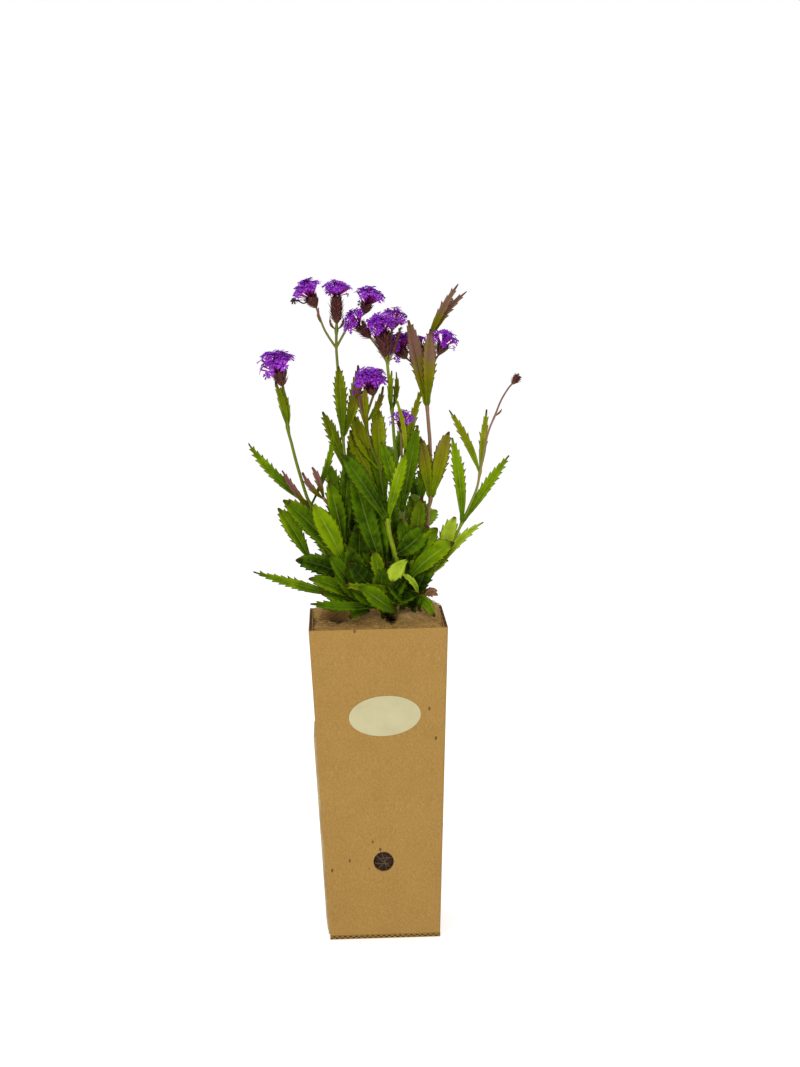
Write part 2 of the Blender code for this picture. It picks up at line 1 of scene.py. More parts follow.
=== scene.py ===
import math
import random
from collections import namedtuple

import bmesh
import bpy
from mathutils import Matrix, Vector, noise


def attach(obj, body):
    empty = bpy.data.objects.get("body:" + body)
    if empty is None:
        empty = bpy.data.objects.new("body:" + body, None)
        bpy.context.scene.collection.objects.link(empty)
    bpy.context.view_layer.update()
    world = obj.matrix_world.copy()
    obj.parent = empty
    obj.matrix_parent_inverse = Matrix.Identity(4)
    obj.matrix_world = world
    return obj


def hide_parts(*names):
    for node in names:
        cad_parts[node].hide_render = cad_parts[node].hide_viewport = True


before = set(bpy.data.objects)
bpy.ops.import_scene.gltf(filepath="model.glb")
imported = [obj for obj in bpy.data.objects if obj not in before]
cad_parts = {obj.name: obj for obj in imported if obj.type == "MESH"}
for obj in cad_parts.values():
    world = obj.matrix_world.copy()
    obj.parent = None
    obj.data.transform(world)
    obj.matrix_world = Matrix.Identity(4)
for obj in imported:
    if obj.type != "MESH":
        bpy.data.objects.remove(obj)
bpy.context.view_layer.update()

MM = 0.001

# The view of the photograph: a camera 1.7 m in front of the box and a little above its rim, rolled
# by about a degree, over a plain pale floor. Three large soft lamps and a pale sky light it, and the
# floor glows faintly, so that it runs into the sky without a line.
EYE = Vector((-28.5, -1700, 541)) * MM
LOOK_AT = Vector((19.8, 0, 317)) * MM
CAMERA_ROLL = math.radians(-1.25)
FOCAL_IN_PIXELS = 2163
FRAME_IN_PIXELS = 1067
SENSOR = 36
SKY_LIGHT = 0.74
FLOOR_REACH = 40


def paint(red, green, blue):
    """A colour given from 0 to 255 as the eye sees it, as the linear colour that a shader takes."""
    parts = [c / 255 for c in (red, green, blue)]
    return (*[c / 12.92 if c <= 0.04045 else ((c + 0.055) / 1.055) ** 2.4 for c in parts], 1)


def node(tree, kind, values=(), **settings):
    """A new node, with plain values or other nodes' outputs in its inputs."""
    made = tree.nodes.new(kind)
    for key, value in settings.items():
        setattr(made, key, value)
    for key, value in dict(values).items():
        if isinstance(value, bpy.types.NodeSocket):
            tree.links.new(value, made.inputs[key])
        else:
            made.inputs[key].default_value = value
    return made


def put(name, data):
    """An object with this data, in the scene."""
    thing = bpy.data.objects.new(name, data)
    bpy.context.scene.collection.objects.link(thing)
    return thing


def new_material(name, roughness, **settings):
    """A material with its Principled shader, and the tree to build its colour in."""
    material = bpy.data.materials.new(name)
    material.use_nodes = True
    shader = material.node_tree.nodes["Principled BSDF"]
    shader.inputs["Roughness"].default_value = roughness
    for key, value in settings.items():
        shader.inputs[key.replace("_", " ").title().replace("Ior", "IOR")].default_value = value
    return material, material.node_tree, shader


def lamp(name, place, size, power):
    light = bpy.data.lights.new(name, "AREA")
    light.size = size
    light.energy = power
    thing = put(name, light)
    thing.location = place
    thing.rotation_euler = (LOOK_AT - Vector(place)).to_track_quat("-Z", "Y").to_euler()


camera = put("camera", bpy.data.cameras.new("camera"))
camera.data.sensor_fit = "VERTICAL"
camera.data.sensor_height = SENSOR
camera.data.lens = SENSOR * FOCAL_IN_PIXELS / FRAME_IN_PIXELS
camera.data.clip_start = 0.05
turn = (LOOK_AT - EYE).to_track_quat("-Z", "Y").to_matrix().to_4x4()
camera.matrix_world = Matrix.Translation(EYE) @ turn @ Matrix.Rotation(CAMERA_ROLL, 4, "Z")
bpy.context.scene.camera = camera
bpy.context.scene.view_settings.view_transform = "Standard"

lamp("key_lamp", (-0.9, -1.5, 1.7), 1.0, 19)
lamp("fill_lamp", (1.3, -1.3, 0.9), 1.2, 4)
lamp("top_lamp", (0.1, 0.6, 1.8), 1.2, 12)

sky = bpy.data.worlds.new("pale_sky")
bpy.context.scene.world = sky
sky.use_nodes = True
seen_straight = node(sky.node_tree, "ShaderNodeLightPath").outputs["Is Camera Ray"]
brightness = node(sky.node_tree, "ShaderNodeMath", {0: seen_straight, 1: 1 - SKY_LIGHT, 2: SKY_LIGHT},
                  operation="MULTIPLY_ADD").outputs[0]
backdrop = sky.node_tree.nodes["Background"].inputs
backdrop["Color"].default_value = (1, 1, 1, 1)
sky.node_tree.links.new(brightness, backdrop["Strength"])

floor_mesh = bpy.data.meshes.new("floor")
floor_corners = [(x * FLOOR_REACH, y * FLOOR_REACH, 0) for x, y in ((-1, -1), (1, -1), (1, 1), (-1, 1))]
floor_mesh.from_pydata(floor_corners, [], [(0, 1, 2, 3)])
floor = put("floor", floor_mesh)
floor_paint, _, floor_shader = new_material("floor_paint", 0.9, emission_strength=0.64)
floor_shader.inputs["Base Color"].default_value = (0.46, 0.46, 0.46, 1)
floor_shader.inputs["Emission Color"].default_value = (1, 1, 1, 1)
floor_mesh.materials.append(floor_paint)

# The carton: four tapered walls of brown corrugated board, folded from one sheet, with a round peep
# hole low in the front and a glued flap outside on the left. Each wall is an outer and an inner
# liner with the fluted paper between them, so the flutes show along the rim.
FOOT_WIDTH = 87 * MM
RIM_WIDTH = 108 * MM
BOX_HEIGHT = 250 * MM
BOARD = 3 * MM
LINER = 0.42 * MM
FLUTE_PAPER = 0.3 * MM
FLUTES_A_SIDE = 15
FLUTE_STEPS = 8
CORNER_STEPS = 6
CORNER_RADIUS = 2.2 * MM
GAP = 0.3 * MM
PEEP_HOLE_RADIUS = 8 * MM
PEEP_HOLE_HEIGHT = 63 * MM
PEEP_HOLE_SIDES = 48
FLAP_TOP = 165 * MM
FLAP_DEPTH = 62 * MM
FLAP_PROUD = 2 * MM


def half_width(height, inset=0.0):
    """Half the box's outside width at a height, less an inset."""
    return (FOOT_WIDTH + (RIM_WIDTH - FOOT_WIDTH) * height / BOX_HEIGHT) / 2 - inset


def front_point(across, height, proud):
    """A point on the front wall, and out of it by proud."""
    lean = math.atan2((RIM_WIDTH - FOOT_WIDTH) / 2, BOX_HEIGHT)
    out = Vector((0, -math.cos(lean), -math.sin(lean)))
    return Vector((across, -half_width(height), height)) + out * proud


def turned_out(mesh, weld=0.0):
    """Turns a mesh's faces outwards, after welding points that lie nearer than weld."""
    shape = bmesh.new()
    shape.from_mesh(mesh)
    if weld:
        bmesh.ops.remove_doubles(shape, verts=shape.verts[:], dist=weld)
    bmesh.ops.recalc_face_normals(shape, faces=shape.faces[:])
    shape.to_mesh(mesh)
    shape.free()


def new_piece(name, points, faces, materials, smooth=False):
    """A mesh object at the origin, with its faces turned out."""
    mesh = bpy.data.meshes.new(name)
    mesh.from_pydata([tuple(p) for p in points], [], faces)
    turned_out(mesh)
    for material in materials:
        mesh.materials.append(material)
    mesh.polygons.foreach_set("use_smooth", [smooth] * len(mesh.polygons))
    return put(name, mesh)


def joined(name, things):
    """One object out of several, each keeping its own materials."""
    shape = bmesh.new()
    materials = []
    for thing in things:
        first = len(shape.faces)
        shape.from_mesh(thing.data)
        shape.faces.ensure_lookup_table()
        own = list(thing.data.materials)
        for face in shape.faces[first:]:
            material = own[face.material_index]
            if material not in materials:
                materials.append(material)
            face.material_index = materials.index(material)
        bpy.data.objects.remove(thing, do_unlink=True)
    mesh = bpy.data.meshes.new(name)
    shape.to_mesh(mesh)
    shape.free()
    for material in materials:
        mesh.materials.append(material)
    return put(name, mesh)


def settle(thing):
    """Applies an object's modifiers to its mesh."""
    bpy.context.view_layer.update()
    result = bpy.data.meshes.new_from_object(thing.evaluated_get(bpy.context.evaluated_depsgraph_get()))
    thing.modifiers.clear()
    thing.data = result
    return thing


def dress(piece, slot, *nodes):
    """The piece rides with the box and plant and stands for these solids; the slot is not used."""
    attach(piece, "root")
    if nodes:
        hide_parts(*nodes)


def wall_ring(height, inset):
    """The box's outline at a height, inside its outer face by inset, with rounded corners."""
    half = half_width(height, inset)
    radius = max(0.2 * MM, CORNER_RADIUS - inset)
    ring = []
    for corner, (x, y) in enumerate(((1, -1), (1, 1), (-1, 1), (-1, -1))):
        for step in range(CORNER_STEPS + 1):
            angle = math.radians(-90 + 90 * corner + 90 / CORNER_STEPS * step)
            ring.append(Vector((x * (half - radius) + radius * math.cos(angle),
                                y * (half - radius) + radius * math.sin(angle), height)))
    return ring


def pairs(ring):
    """Each member of a closed ring with the next one."""
    ring = list(ring)
    return list(zip(ring, ring[1:] + ring[:1]))


def bridged(low, high):
    """The faces between two closed rings of point numbers."""
    return [(a, b, d, c) for (a, b), (c, d) in zip(pairs(low), pairs(high))]


def ringed(name, rings, materials, looped=False, smooth=False):
    """A closed piece over equal rings of points: its first and last ring meet, or a face closes each."""
    sides = len(rings[0])
    numbers = [range(r * sides, (r + 1) * sides) for r in range(len(rings))]
    faces = [face for low, high in zip(numbers, numbers[1:]) for face in bridged(low, high)]
    faces += bridged(numbers[-1], numbers[0]) if looped else [tuple(numbers[0]), tuple(numbers[-1])]
    return new_piece(name, [p for ring in rings for p in ring], faces, materials, smooth)


def circle(radius, sides):
    """The places of a ring's points round its middle."""
    return [(math.cos(math.tau * i / sides) * radius, math.sin(math.tau * i / sides) * radius)
            for i in range(sides)]


def fluted_ring(height, shift):
    """The fluted paper's line at a height: it swings between the two liners along each wall."""
    ring = []
    middle = BOARD / 2
    swing = middle - LINER - FLUTE_PAPER / 2
    samples = FLUTES_A_SIDE * FLUTE_STEPS
    for side in range(4):
        turned = Matrix.Rotation(math.radians(90 * side), 3, "Z")
        for i in range(samples):
            share = i / samples
            inset = middle + swing * math.sin(math.tau * FLUTES_A_SIDE * share) + shift
            half = half_width(height, inset)
            ring.append(turned @ Vector((-half + 2 * half * share, -half, height)))
    return ring


def punch(thing, cutter):
    hole = thing.modifiers.new("hole", "BOOLEAN")
    hole.operation = "DIFFERENCE"
    hole.solver = "EXACT"
    hole.object = cutter
    return settle(thing)


def maths(tree, operation, first, second=0.0, third=0.0):
    return node(tree, "ShaderNodeMath", {0: first, 1: second, 2: third}, operation=operation).outputs[0]


def times(tree, first, second):
    return maths(tree, "MULTIPLY", first, second)


def new_group(kind, name, result, **inputs):
    """A node group with its named inputs; gives the group and its input sockets."""
    group = bpy.data.node_groups.new(name, kind + "NodeTree")
    for label, sort in inputs.items():
        group.interface.new_socket(label, in_out="INPUT", socket_type="NodeSocket" + sort)
    group.interface.new_socket(result, in_out="OUTPUT",
                               socket_type="NodeSocket" + ("Float" if kind == "Shader" else kind))
    return group, node(group, "NodeGroupInput").outputs


speckle, given = new_group("Shader", "speckle", "Mask", Vector="Vector", Scale="Float", Size="Float", Share="Float")
cells = node(speckle, "ShaderNodeTexVoronoi", {"Vector": given["Vector"], "Scale": given["Scale"]}).outputs
near = maths(speckle, "LESS_THAN", cells["Distance"], given["Size"])
chance = node(speckle, "ShaderNodeSeparateColor", {"Color": cells["Color"]}).outputs["Red"]
picked = maths(speckle, "LESS_THAN", chance, given["Share"])
node(speckle, "NodeGroupOutput", {"Mask": times(speckle, near, picked)})

mottle, given = new_group("Shader", "mottle", "Value", Vector="Vector", Scale="Float", Low="Float", High="Float")
cloud = node(mottle, "ShaderNodeTexNoise", {"Vector": given["Vector"], "Scale": given["Scale"], "Detail": 4.0,
                                            "Roughness": 0.62}).outputs[0]
spread = node(mottle, "ShaderNodeMapRange", {"Value": cloud, "From Min": 0.3, "From Max": 0.7,
                                             "To Min": given["Low"], "To Max": given["High"]})
node(mottle, "NodeGroupOutput", {"Value": spread.outputs[0]})


def clouds(tree, place, scale, low=0.0, high=1.0):
    """Soft clouds between two values."""
    return node(tree, "ShaderNodeGroup", {"Vector": place, "Scale": scale, "Low": low, "High": high},
                node_tree=mottle).outputs[0]


def flecks(tree, place, scale, size, share):
    """A mask of separate flecks."""
    return node(tree, "ShaderNodeGroup", {"Vector": place, "Scale": scale, "Size": size, "Share": share},
                node_tree=speckle).outputs[0]


def mix(tree, share, first, second):
    """One colour laid over another by a share. A plain colour is given from 0 to 255."""
    first, second = [c if isinstance(c, bpy.types.NodeSocket) else paint(*c) for c in (first, second)]
    return node(tree, "ShaderNodeMix", {0: share, 6: first, 7: second}, data_type="RGBA").outputs[2]


def between(tree, value, low, high, to_low=0.0, to_high=1.0):
    """A value mapped smoothly from one range to another."""
    return node(tree, "ShaderNodeMapRange", {"Value": value, "From Min": low, "From Max": high, "To Min": to_low,
                                             "To Max": to_high}, interpolation_type="SMOOTHSTEP").outputs[0]


def own_place(tree):
    return node(tree, "ShaderNodeTexCoord").outputs["Object"]


def stretched(tree, place, scale, turned=(0, 0, 0)):
    return node(tree, "ShaderNodeMapping", {"Vector": place, "Scale": scale, "Rotation": turned}).outputs[0]


def bump(tree, shader, height, strength, distance):
    made = node(tree, "ShaderNodeBump", {"Height": height, "Strength": strength, "Distance": distance})
    tree.links.new(made.outputs[0], shader.inputs["Normal"])


def coat(tree, shader, colour, scale=0.0, strength=0.0, distance=0.0):
    """The finished colour on the shader, with a fine grain where its scale is given."""
    tree.links.new(colour, shader.inputs["Base Color"])
    if scale:
        bump(tree, shader, clouds(tree, own_place(tree), scale), strength, distance)


def board_material(name, colour, shadow, light_flecks):
    """Brown kraft paper: cloudy, with fine fibres, and with pale and dark flecks, each sort turned its own way."""
    material, tree, shader = new_material(name, 0.86)
    place = own_place(tree)
    base = mix(tree, clouds(tree, place, 38.0), colour, shadow)
    for turned, tint in ((0.7, (126, 92, 38)), (-0.5, (192, 156, 92))):
        fibres = clouds(tree, stretched(tree, place, (1, 1, 0.7), (0, turned, 0)), 800.0, -0.14, 0.28)
        base = mix(tree, maths(tree, "MAXIMUM", fibres, 0.0), base, tint)
    for scale, size, share, strength, tint in ((430.0, 0.17, light_flecks, 0.2, (206, 178, 122)),
                                               (820.0, 0.22, light_flecks * 2, 0.14, (206, 178, 122)),
                                               (620.0, 0.2, 0.12, 0.36, (106, 74, 30)),
                                               (150.0, 0.15, 0.07, 0.8, (76, 48, 20))):
        fleck = flecks(tree, stretched(tree, place, (1, 1, 0.6), (0, scale, 0)), scale, size, share)
        base = mix(tree, times(tree, fleck, strength), base, tint)
    coat(tree, shader, base, 1400.0, 0.25, 0.0002)
    return material


kraft = board_material("kraft_board", (158, 121, 54), (152, 114, 49), 0.12)
raw_edge = board_material("raw_board_edge", (118, 88, 52), (86, 60, 34), 0.05)
pale_edge = board_material("torn_board_edge", (192, 172, 132), (160, 132, 84), 0.2)

low = BOARD + GAP
inner_top = BOX_HEIGHT - 0.1 * MM
flute_top = BOX_HEIGHT - 0.5 * MM
half_paper = FLUTE_PAPER / 2
outer = ringed("outer_liner", [wall_ring(*place) for place in (
    (low, 0), (BOX_HEIGHT - 0.12 * MM, 0), (BOX_HEIGHT, LINER * 0.3), (BOX_HEIGHT, LINER), (low, LINER))],
    [kraft], looped=True)
inner = ringed("inner_liner", [wall_ring(*place) for place in (
    (low, BOARD - LINER), (inner_top, BOARD - LINER), (inner_top, BOARD), (low, BOARD))], [kraft], looped=True)
flutes = ringed("flutes", [fluted_ring(*place) for place in (
    (low, -half_paper), (flute_top, -half_paper), (flute_top, half_paper), (low, half_paper))],
    [raw_edge], looped=True)
cutter = ringed("hole_tool", [[front_point(x, PEEP_HOLE_HEIGHT + z, proud)
                               for x, z in circle(PEEP_HOLE_RADIUS, PEEP_HOLE_SIDES)]
                              for proud in (6 * MM, -6 * MM)], [])
for sheet in (outer, inner, flutes):
    punch(sheet, cutter)
bpy.data.objects.remove(cutter, do_unlink=True)

rings = []
for height, worn in ((low, 1.5 * MM), (low + 5 * MM, 0.5 * MM), (low + 14 * MM, 0), (FLAP_TOP - 1.2 * MM, 0),
                     (FLAP_TOP, 0.7 * MM)):
    wall = half_width(height)
    out, middle, back_side = -wall - FLAP_PROUD + worn, -wall - FLAP_PROUD / 2, -wall + 0.2 * MM
    front, back = -wall + BOARD, -wall + BOARD + FLAP_DEPTH
    rings.append([Vector((x, y, height)) for x, y in (
        (out, front + 0.8 * MM + worn), (middle, front + worn), (back_side, front + worn),
        (back_side, back - worn), (middle, back - worn), (out, back - 0.8 * MM - worn))])
flap = ringed("flap", rings, [kraft, pale_edge])
for face in flap.data.polygons:
    if abs(face.normal.y) > 0.3 or abs(face.normal.z) > 0.5:
        face.material_index = 1

carton = joined("folded_carton", [outer, inner, flutes, flap])
dress(carton, "board", "carton")

# The carton's floor is a separate square of the same board, pushed up flush with the walls' ends.
# Its flutes run from front to back, so their waves show along its front and back edges.
FLOOR_FLUTES = 20
CRUSHED_PAPER = 0.7 * MM
half = half_width(BOARD)
ends = (-half, half)


def floor_sheet(name, low_side, high_side):
    """A closed sheet across the box between two wavy lines, from the front edge to the back."""
    line = low_side + high_side[::-1]
    return ringed(name, [[Vector((x, y, z)) for x, z in line] for y in ends], [kraft])


wave = []
for i in range(FLOOR_FLUTES * FLUTE_STEPS + 1):
    share = i / (FLOOR_FLUTES * FLUTE_STEPS)
    swing = (BOARD / 2 - LINER - CRUSHED_PAPER / 2) * math.sin(math.tau * FLOOR_FLUTES * share)
    wave.append((-half + 2 * half * share, BOARD / 2 + swing))
bottom = joined("carton_floor_board", [
    floor_sheet("under", [(x, 0) for x in ends], [(x, LINER) for x in ends]),
    floor_sheet("over", [(x, BOARD - LINER) for x in ends], [(x, BOARD) for x in ends]),
    floor_sheet("floor_flutes", [(x, z - CRUSHED_PAPER / 2) for x, z in wave],
                [(x, z + CRUSHED_PAPER / 2) for x, z in wave])])
dress(bottom, "board", "carton_floor")

# The label is an oval of cream paper stuck on the front, turned by about three degrees. The photo's
# two lines of lettering are left off, and the paper is bare. Its cut edge is slightly lifted.
LABEL_SIZE = (56 * MM, 32 * MM)
LABEL_CENTRE = (3.5 * MM, 181 * MM)
LABEL_TURN = math.radians(3)
LABEL_SIDES = 96


def label_point(angle, share, proud):
    place = Vector((math.cos(angle) * LABEL_SIZE[0] / 2 * share, math.sin(angle) * LABEL_SIZE[1] / 2 * share))
    place.rotate(Matrix.Rotation(LABEL_TURN, 2))
    return front_point(LABEL_CENTRE[0] + place.x, LABEL_CENTRE[1] + place.y, proud)


rings = []
for share, proud in ((1.0, 0.06), (1.0, 0.3), (0.985, 0.34), (0.95, 0.3), (0.7, 0.24)):
    rings.append([])
    for i in range(LABEL_SIDES):
        angle = math.tau * i / LABEL_SIDES
        lift = 0.1 * MM * max(0, math.sin(angle * 2 + 0.6)) if share > 0.98 and proud > 0.1 else 0
        rings[-1].append(label_point(angle, share, proud * MM + lift))

sticker_paper, tree, shader = new_material("sticker_paper", 0.55, coat_weight=0.12, coat_roughness=0.45)
place = own_place(tree)
base = mix(tree, clouds(tree, place, 60.0), (192, 184, 142), (182, 172, 130))
base = mix(tree, clouds(tree, stretched(tree, place, (0.5, 1, 2)), 1500.0, 0.0, 0.2), base, (170, 162, 122))
base = mix(tree, times(tree, flecks(tree, place, 330.0, 0.12, 0.07), 0.4), base, (150, 128, 84))
coat(tree, shader, base, 1100.0, 0.12, 0.0001)
dress(ringed("label_sticker", rings, [sticker_paper]), "label_paper", "label")

# The root ball: dark potting soil and roots pressed against the board's inner side. It shows only in
# the peep hole, where crumbs and a few pale roots stand out of it.
SOIL_REACH = PEEP_HOLE_RADIUS + 1.5 * MM
SOIL_RINGS, SOIL_SIDES = 14, 40
ROOT_STEPS = 12

soil_dirt, tree, shader = new_material("potting_soil", 0.95)
place = own_place(tree)
base = mix(tree, clouds(tree, place, 500.0), (40, 24, 16), (78, 52, 36))
base = mix(tree, flecks(tree, place, 700.0, 0.3, 0.12), base, (100, 72, 50))
coat(tree, shader, base, 800.0, 0.9, 0.0012)
root_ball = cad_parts["root_ball"]
root_ball.data.materials.clear()
root_ball.data.materials.append(soil_dirt)

root_skin, tree, shader = new_material("fine_roots", 0.7)
coat(tree, shader, mix(tree, clouds(tree, own_place(tree), 900.0), (118, 88, 60), (70, 48, 34)))

rings = []
for r in range(SOIL_RINGS + 1):
    share = r / SOIL_RINGS
    rings.append([])
    for across, up in circle(share * SOIL_REACH, SOIL_SIDES):
        crumb = noise.fractal(Vector((across, up, 0.3)) * 420, 0.8, 2.2, 4) * 0.7 * MM
        dome = -BOARD - GAP + (1.5 * MM * (1 - share ** 2)) + crumb * (1 - share ** 4)
        rings[-1].append(front_point(across, PEEP_HOLE_HEIGHT + up,
                                     min(dome, -0.5 * MM) - 0.6 * MM * share ** 6))
rings.append([front_point(across, PEEP_HOLE_HEIGHT + up, -BOARD - 3 * MM)
              for across, up in circle(SOIL_REACH, SOIL_SIDES)])
soil_face = ringed("soil_face", rings, [soil_dirt], smooth=True)
turned_out(soil_face.data, weld=1e-6)
dress(soil_face, "soil")


def strand(name, places, radius, material, sides=5):
    """A thin round thread through its places, pointed at both ends."""
    points, rings = [places[0]], []
    for before, place, after in zip(places, places[1:], places[2:]):
        ahead = (after - before).normalized()
        across = ahead.orthogonal().normalized()
        up = ahead.cross(across)
        rings.append(range(len(points), len(points) + sides))
        points += [place + (across * x + up * y) * radius for x, y in circle(1, sides)]
    points.append(places[-1])
    faces = [face for low, high in zip(rings, rings[1:]) for face in bridged(low, high)]
    faces += [(0, b, a) for a, b in pairs(rings[0])] + [(len(points) - 1, a, b) for a, b in pairs(rings[-1])]
    return new_piece(name, points, faces, [material], smooth=True)


ROOTS = [((-7.2, 6.5), (-1, 0.5), (6.8, -6.2)), ((6.5, 7), (1.5, -0.5), (-5.5, -7)), ((-8, -1), (-2, -2.4), (5, -1.5)),
         ((-2, 7.8), (0.8, 2), (2.4, -7.6)), ((7.8, 2.5), (2, 3.2), (-4, 2))]
threads = []
for n, (start, middle, end) in enumerate(ROOTS):
    places = []
    for i in range(ROOT_STEPS + 1):
        t = i / ROOT_STEPS
        x, z = [a * (1 - t) ** 2 + b * 2 * t * (1 - t) + c * t * t for a, b, c in zip(start, middle, end)]
        sway = noise.noise(Vector((t * 4, n, 0))) * 0.5
        rise = -1.5 + 0.9 * math.sin(math.pi * t)
        places.append(front_point((x + sway) * MM, PEEP_HOLE_HEIGHT + (z - sway) * MM, rise * MM))
    threads.append(strand("root", places, 0.28 * MM, root_skin))
dress(joined("peep_hole_roots", threads), "soil")

# The mulch mat: a felt of brown plant fibres laid on the soil under the rim. It swells towards the
# back and the right, with a hollow at the left and a slit in front, and loose fibres stand out of it.
SOIL_TOP = BOX_HEIGHT - 14 * MM
MAT_CELLS = 90


def mat_height(x, y):
    """The mat's top, in millimetres over the rim, at a place in millimetres."""
    band = 2.6 * math.exp(-((y + 28) / 16) ** 2) * (1 - math.exp(-((x + 33) / 13) ** 2))
    swell = 4.5 * math.exp(-((y - 38) / 20) ** 2)
    hump = 8 * math.exp(-((x - 42) / 11) ** 2 - ((y - 10) / 26) ** 2)
    round_stems = math.exp(-((y + 20) / 9) ** 2)
    left_lip = 6.5 * math.exp(-((x + 5) / 11) ** 2) * round_stems
    right_lip = 8 * math.exp(-((x - 25) / 10) ** 2) * round_stems
    mound = 6.5 * math.exp(-((x + 34) / 17) ** 2 - ((y - 22) / 12) ** 2)
    hollow = -8 * math.exp(-(((x + 33) / 12) ** 2 + (y / 12) ** 2) ** 1.2)
    wide = min(5.2, 1.0 + 0.2 * max(0, y + 40))
    slit = -16 * math.exp(-((x - 10.5) / wide) ** 4) / (1 + math.exp(-(y + 37) / 1.2)) / (1 + math.exp((y - 27) / 1.5))
    fall = -3 * math.exp(-((50 - max(abs(x), abs(y))) / 3) ** 2)
    ripple = 0.7 * math.sin(x * 0.21 + 1) * math.cos(y * 0.17)
    return max(-12.5, band + swell + hump + mound + left_lip + right_lip + hollow + slit + fall + ripple - 0.4)


def mat_hollow_shade(x, y):
    """How much painted shade darkens the mat in and round its hollow, from 0 to 1."""
    return math.exp(-(((x + 33) / 11) ** 2 + ((y - 6) / 13) ** 2) ** 1.5)


low = SOIL_TOP + GAP
half = half_width(BOX_HEIGHT - 4 * MM, BOARD + GAP)
count = MAT_CELLS + 1
points, faces, hollow_shades = [], [], []
for row in range(count):
    for column in range(count):
        x = -half + 2 * half * column / MAT_CELLS
        y = -half + 2 * half * row / MAT_CELLS
        tuft = noise.fractal(Vector((x, y, 0)) * 170, 0.9, 2.1, 4) * 0.9
        tuft += noise.fractal(Vector((x * 0.4, y, 0.1)) * 700, 0.8, 2.2, 3) * 0.35
        points.append(Vector((x, y, BOX_HEIGHT + (mat_height(x / MM, y / MM) + tuft) * MM)))
        hollow_shades.append(mat_hollow_shade(x / MM, y / MM))
for row in range(MAT_CELLS):
    for column in range(MAT_CELLS):
        a = row * count + column
        faces.append((a, a + 1, a + count + 1, a + count))
edge = list(range(count)) + [row * count + count - 1 for row in range(1, count)]
edge += [count * count - 1 - i for i in range(1, count)] + [row * count for row in range(count - 2, 0, -1)]
first = len(points)
shrink = half_width(low, BOARD + GAP * 1.5) / half
points += [Vector((points[i].x * shrink, points[i].y * shrink, low)) for i in edge]
faces.append(tuple(range(first, len(points))))
faces += bridged(edge, range(first, len(points)))


def level_of(tree, place):
    """How high a place is."""
    return node(tree, "ShaderNodeSeparateXYZ", {0: place}).outputs["Z"]


def stored(tree, label):
    """A value that the mesh carries at each point."""
    return node(tree, "ShaderNodeAttribute", attribute_name=label).outputs["Fac"]


felt, tree, shader = new_material("plant_fibre_felt", 0.95, specular_ior_level=0.1)
place = own_place(tree)
base = mix(tree, clouds(tree, place, 70.0), (178, 140, 74), (146, 110, 52))
streaks = clouds(tree, stretched(tree, place, (0.35, 1.6, 1), (0, 0, 0.5)), 620.0, 0.0, 0.8)
base = mix(tree, streaks, base, (116, 85, 38))
light = clouds(tree, stretched(tree, place, (1.8, 0.3, 1), (0, 0, -0.3)), 700.0, -0.5, 0.8)
base = mix(tree, maths(tree, "MAXIMUM", light, 0.0), base, (190, 156, 94))
level = level_of(tree, place)
# Painted highlight: the mat's raised humps and lips are lightened, as if lit from above.
base = mix(tree, between(tree, level, BOX_HEIGHT + 1.5 * MM, BOX_HEIGHT + 7 * MM, 0.0, 0.4), base, (206, 170, 120))
# Painted shade: the mat is darkened in and round its hollow, where its inner wall lies in shadow.
base = mix(tree, times(tree, stored(tree, "stain"), 0.75), base, (70, 44, 22))
# Painted shade: the mat turns almost black where it sinks under the rim, in the hollow and the slit.
base = mix(tree, between(tree, level, BOX_HEIGHT - 6 * MM, BOX_HEIGHT - 0.3 * MM, 0.92, 0.0), base, (38, 25, 13))
coat(tree, shader, base)
bump(tree, shader, streaks, 0.8, 0.0012)
mat = new_piece("fibre_mat", points, faces, [felt], smooth=True)
# The mesh carries the hollow's painted shade at each point, for the felt and the loose fibres.
hollow_shades += [0.0] * (len(points) - len(hollow_shades))
mat.data.attributes.new("stain", "FLOAT", "POINT").data.foreach_set("value", hollow_shades)
dress(mat, "mulch_fibre", "mulch_mat")


def grown(name, tree, values, base_mesh):
    """A new plain mesh object from a tree, with its inputs set before it is first evaluated."""
    thing = put(name, base_mesh)
    modifier = thing.modifiers.new(tree.name, "NODES")
    modifier.node_group = tree
    for item in tree.interface.items_tree:
        if item.in_out == "INPUT" and item.name in values:
            modifier[item.identifier] = values[item.name]
    return settle(thing)


def chance_in(tree, low, high, seed, kind="FLOAT"):
    """A random value for each point."""
    made = node(tree, "FunctionNodeRandomValue", {"Seed": seed}, data_type=kind)
    for label, value in (("Min", low), ("Max", high)):
        [s for s in made.inputs if s.enabled and s.name == label][0].default_value = value
    return [s for s in made.outputs if s.enabled][0]


def scatter(tree, given, unit, dots, rotation, size, keep_own=False):
    """Ends a tree: the unit stands at every dot, each with its own shade, as plain mesh in the given finish."""
    shaded = node(tree, "GeometryNodeStoreNamedAttribute",
                  {"Geometry": dots, "Name": "shade", "Value": chance_in(tree, 0.0, 1.0, given["Seed"])},
                  data_type="FLOAT").outputs[0]
    info = node(tree, "GeometryNodeObjectInfo", {"Object": given[unit], "As Instance": True})
    placed = node(tree, "GeometryNodeInstanceOnPoints",
                  {"Points": shaded, "Instance": info.outputs["Geometry"], "Rotation": rotation,
                   "Scale": size}).outputs[0]
    if keep_own:
        together = node(tree, "GeometryNodeJoinGeometry")
        for part in (given["Geometry"], placed):
            tree.links.new(part, together.inputs[0])
        placed = together.outputs[0]
    real = node(tree, "GeometryNodeRealizeInstances", {"Geometry": placed}).outputs[0]
    coated = node(tree, "GeometryNodeSetMaterial", {"Geometry": real, "Material": given["Material"]})
    node(tree, "NodeGroupOutput", {"Geometry": coated.outputs[0]})


